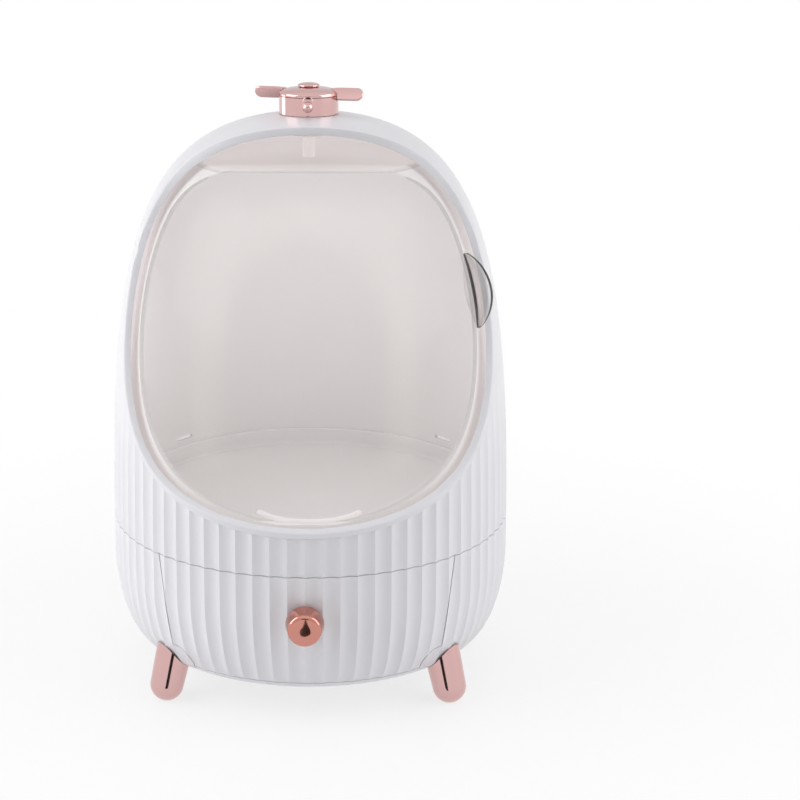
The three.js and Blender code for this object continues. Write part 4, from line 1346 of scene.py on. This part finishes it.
class CROWN_OT_ornament(bpy.types.Operator):
    """Builds the ornament on the crown: housing, nose, propeller, cap and finial"""

    bl_idname = "organizer.ornament"
    bl_label = "Crown ornament"

    def execute(self, context):
        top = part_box("hub_housing")[1].z
        ring = top + FIT
        level = ring + BLADE_THICKNESS / 2
        self.housing(top, level)
        self.nose()
        over, wide = ring + BLADE_THICKNESS, 0.0134
        corners = [(BORE, ring), (wide, ring, 0.0003), (wide, over, 0.0003), (BORE, over)]
        body = turned("blades", corners, 128, 3)
        for turn in BLADE_TURNS:
            combine(body, paddle(level, turn), "UNION")
        piece(body, "crown_ornament", "rose_metal", replaces=("propeller",), angle=40.0)
        self.cap(level)
        self.finial()
        return {"FINISHED"}

    def finial(self):
        """The small dome on the cap"""
        low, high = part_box("crown_finial")
        edge, radius, foot = 0.0004, high.x, low.z + 0.0005
        turns = np.linspace(0.1, math.pi / 2, 20)[:-1]
        dome = arc_points(turns, (0.0, foot), radius, high.z - foot)
        profile = [(0.0, low.z), (radius - edge, low.z), (radius, low.z + edge), *dome, (0.0, high.z)]
        finial = on_axis(lathe("finial", profile, 96))
        piece(finial, "crown_ornament", "rose_metal", replaces=("crown_finial",), angle=40.0)

    def housing(self, top, level):
        """The round housing on the dome, with its blade slots and a small notch at the front"""
        dome, notch = Outline(-FIT), 0.0021
        lengths = np.linspace(dome.length_at_radius(BORE), dome.length_at_radius(HUB_RADIUS), 14)
        foot = [dome.at(length) for length in lengths]
        wall = [(HUB_RADIUS, height) for height in np.linspace(foot[-1][1], top, 6)[1:]]
        hub = on_axis(lathe("housing", foot + wall + [(BORE, top)], 192))
        for turn in BLADE_TURNS:
            combine(hub, paddle(level, turn, FIT), "DIFFERENCE")
        half, low, high = notch / 2, CROWN - notch, CROWN + notch
        front = AXIS_Y - HUB_RADIUS
        outline = [(-half, low), (half, low), (half, high), (-half, high)]
        combine(hub, front_prism("notch", outline, front - notch, front + half), "DIFFERENCE")
        piece(hub, "crown_ornament", "rose_metal", replaces=("hub_housing",))

    def cap(self, level):
        """The domed cap over the ring, hollowed for the spindle's head"""
        low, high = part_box("propeller_cap")
        rim, flat, skirt, hole = 0.0009, 0.0066, 0.0137, 0.0049
        arc = math.acos(flat / HUB_RADIUS)
        rise = (high.z - low.z - rim) / math.sin(arc)
        dome = arc_points(np.linspace(0, arc, 28), (0.0, low.z + rim), HUB_RADIUS, rise)
        seat, hollow = high.z - 0.0017, low.z + BLADE_THICKNESS + FIT
        profile = [
            (skirt, low.z), (HUB_RADIUS, low.z), *dome, (hole, high.z), (hole, seat), (BORE, seat),
            (BORE, hollow), (skirt, hollow),
        ]
        cap = on_axis(lathe("cap", profile, 192))
        for turn in BLADE_TURNS:
            combine(cap, paddle(level, turn, FIT), "DIFFERENCE")
        piece(cap, "crown_ornament", "rose_metal", replaces=("propeller_cap",), angle=30.0)

    def nose(self):
        """A ball on an upright oblong plate at the housing's front, with its stem in the housing"""
        low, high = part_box("hub_nose")
        half, rise = high.x - 0.0001, high.z - low.z - 2 * high.x
        turns = np.linspace(0, math.pi, 25)
        edge = arc_points(turns, (0.0, rise), half) + arc_points(turns, (0.0, 0.0), -half)
        oblong = plate("nose", edge, FIT, 0.0014, 0.0004)
        ball, centre, stem, end = 0.0029, 0.0031, 0.0015, -0.0057
        turns = np.linspace(math.radians(30), math.pi, 24)[:-1]
        rounded = [(ball * math.sin(turn), centre - ball * math.cos(turn)) for turn in turns]
        profile = [(0.0, end), (stem, end), (stem, 0.0006), *rounded, (0.0, centre + ball)]
        combine(oblong, lathe("ball", profile, 64), "UNION")
        moved(oblong, facing_front(AXIS_Y - HUB_RADIUS, low.z + high.x))
        piece(oblong, "crown_ornament", "rose_metal", replaces=("hub_nose",))


# Frame nodes that stay


class FRAME_OT_finish(bpy.types.Operator):
    """Gives the frame's own solids their materials"""

    bl_idname = "organizer.frame_finish"
    bl_label = "Frame finishes"

    def execute(self, context):
        for name, node in NODES.items():
            look = "screw_steel" if "screw" in name or name == "spindle" else "liner_white"
            node.data.materials.clear()
            node.data.materials.append(LOOKS[look])
        return {"FINISHED"}


# Stage


class STAGE_OT_studio(bpy.types.Operator):
    """Sets the pale floor, the soft lamps, the world and the camera"""

    bl_idname = "organizer.stage"
    bl_label = "Stage"

    def execute(self, context):
        scene = context.scene
        self.floor(tuple(scene.organizer_colours.floor))
        self.lamp("left", (-1.15, -0.35, 0.75), (0, 0, 0.18), 1.1, 1.1, 9.8)
        self.lamp("right", (1.15, -0.30, 0.70), (0, 0, 0.18), 1.1, 1.1, 7.0)
        self.lamp("low left", (-0.95, 0.40, 0.12), (0, 0, 0.3), 0.4, 0.3, 0.6)
        top = self.lamp("top", (0.0, 0.10, 1.45), (0, 0, 0.2), 1.0, 1.0, 2.4)
        fill = self.lamp("cabin fill", (0, AXIS_Y - 0.09, 0.215), (0, AXIS_Y, 0.205), 0.12, 0.14, 0.031)
        fill.data.spread = math.radians(90)
        top.visible_glossy = fill.visible_glossy = False
        self.cards()
        self.world(scene)
        self.camera(scene)
        scene.view_settings.view_transform = "Standard"
        return {"FINISHED"}

    def camera(self, scene):
        """The view that was fitted to the photograph"""
        camera = bpy.data.cameras.new("camera")
        camera.lens, camera.sensor_width = 82.7, 36.0
        camera.shift_x, camera.shift_y = 0.1125, -0.023
        camera.clip_end = 60.0
        holder = placed("camera", camera)
        rise, turn, roll = (math.radians(degrees) for degrees in (15.86, 1.6, 0.25))
        distance, target = 1.05, Vector((0, AXIS_Y, 0.165))
        level = math.cos(rise)
        back = Vector((math.sin(turn) * level, -math.cos(turn) * level, math.sin(rise)))
        holder.location = target + back * distance
        facing = (target - holder.location).to_track_quat("-Z", "Y").to_matrix()
        holder.rotation_euler = (facing @ Matrix.Rotation(-roll, 3, "Z")).to_euler()
        scene.camera = holder

    def floor(self, colour):
        """A pale floor that keeps the object's soft shadow and is white farther out"""
        look = Look("Pale floor", Roughness=0.6)
        look.set("Base Color", look.tint(look.noise(3.0), shade(colour, 0.995), colour))
        glow = look.node("ShaderNodeEmission", {}, {"Color": (1, 1, 1, 1), "Strength": 1.0})
        reach = look.node("ShaderNodeVectorMath", {"operation": "LENGTH"}, {0: look.place()}, "Value")
        seen = look.ray("Camera") + look.ray("Glossy") + look.ray("Transmission")
        share = seen * look.span(reach, 0.75, 1.0, 0.1, 0.5, smooth=True)
        plain = Value(look, look.shader.outputs[0])
        mixed = look.node("ShaderNodeMixShader", {}, {0: share, 1: plain, 2: glow})
        look.feed(look.tree.nodes["Material Output"].inputs["Surface"], mixed)
        far = 15
        corners = [(-far, -far, 0), (far, -far, 0), (far, far, 0), (-far, far, 0)]
        floor = plain_mesh("floor", corners, [range(4)])
        floor.data.materials.append(look.material)

    def cards(self):
        """Small dark cards in front of the knob and the front feet, which only gloss shows"""
        look = Look("Dark card", Roughness=0.9)
        look.set("Base Color", look.tint(look.noise(5.0), (0.012, 0.011, 0.011), (0.02, 0.018, 0.018)))
        flat = [(-0.009, -0.253, 0.001), (0.009, -0.253, 0.001), (0.014, -3, 0.001), (-0.014, -3, 0.001)]
        cards = [flat]
        for middle in (-0.077, 0.066):
            low, high = middle - 0.007, middle + 0.007
            cards.append([(low, -0.11, 0.0), (high, -0.11, 0.0), (high, -0.11, 0.036), (low, -0.11, 0.036)])
        points = [point for card in cards for point in card]
        faces = [range(first, first + 4) for first in range(0, len(points), 4)]
        obj = plain_mesh("cards", points, faces)
        obj.data.materials.append(look.material)
        obj.visible_camera = obj.visible_diffuse = obj.visible_transmission = obj.visible_shadow = False

    def lamp(self, name, place, target, width, height, power):
        light = bpy.data.lights.new(name, "AREA")
        light.shape, light.size, light.size_y, light.energy = "RECTANGLE", width, height, power
        obj = placed(name, light)
        obj.location = place
        obj.rotation_euler = (Vector(target) - Vector(place)).to_track_quat("-Z", "Y").to_euler()
        return obj

    def world(self, scene):
        """A white tent, dimmer in front, with a narrow dark gap that only gloss shows"""
        world = bpy.data.worlds.new("studio")
        world.use_nodes = True
        sky = Nodes(world.node_tree)
        way = sky.node("ShaderNodeTexCoord", output="Generated")
        across = sky.node("ShaderNodeSeparateXYZ", {}, {0: way})
        along, up = (Value(sky, across.socket.node.outputs[number]) for number in (1, 2))
        front = sky.span(along * -1.0, 0.0, 1.0, 0.3, 0.95, smooth=True)
        gap = sky.span(across.math("ABSOLUTE", across), 1.0, 0.0, 0.10, 0.15, smooth=True)
        gap = gap * front * sky.span(up, 1.0, 0.0, 0.2, 0.28, smooth=True)
        raised = front * sky.span(up, 0.0, 1.0, 0.35, 0.6, smooth=True)
        seen = sky.ray("Camera") + sky.ray("Transmission")
        gloss = sky.ray("Glossy")
        rear = sky.span(along, 0.0, 1.0, 0.4, 0.9, smooth=True)
        mirrored = 1.0 - front * 0.22 - gap * 0.72 + raised * 0.5 - rear * 0.22
        level = seen + gloss * mirrored + (1.0 - seen - gloss) * (0.5 - front * 0.33)
        back = sky.tree.nodes["Background"]
        sky.feed(back.inputs["Color"], (1, 1, 1, 1))
        sky.feed(back.inputs["Strength"], level)
        scene.world = world


class ORGANIZER_PT_panel(bpy.types.Panel):
    """Lists the organizer's pieces, sizes and colours"""

    bl_idname = "ORGANIZER_PT_panel"
    bl_label = "Organizer"
    bl_space_type = "VIEW_3D"
    bl_region_type = "UI"
    bl_category = "Organizer"

    def draw(self, context):
        for group in (context.scene.organizer_sizes, context.scene.organizer_colours):
            for key in group.bl_rna.properties.keys():
                if key not in ("rna_type", "name"):
                    self.layout.prop(group, key)
        for operator in OPERATORS:
            self.layout.operator(operator.bl_idname)


OPERATORS = (
    STAGE_OT_studio, UPPER_OT_shell, LOWER_OT_base, DRAWER_OT_front, CABIN_OT_liner, CABIN_OT_tray,
    CABIN_OT_pivot, DOOR_OT_panel, FEET_OT_ring, CROWN_OT_ornament, FRAME_OT_finish,
)
CLASSES = (OrganizerSizes, OrganizerColours, *OPERATORS, ORGANIZER_PT_panel)


def register():
    for cls in CLASSES:
        bpy.utils.register_class(cls)
    bpy.types.Scene.organizer_sizes = bpy.props.PointerProperty(type=OrganizerSizes)
    bpy.types.Scene.organizer_colours = bpy.props.PointerProperty(type=OrganizerColours)


def unregister():
    del bpy.types.Scene.organizer_sizes
    del bpy.types.Scene.organizer_colours
    for cls in reversed(CLASSES):
        bpy.utils.unregister_class(cls)


def main():
    register()
    make_looks(bpy.context.scene.organizer_colours)
    for operator in OPERATORS:
        group, name = operator.bl_idname.split(".")
        getattr(getattr(bpy.ops, group), name)()


if __name__ == "__main__":
    main()
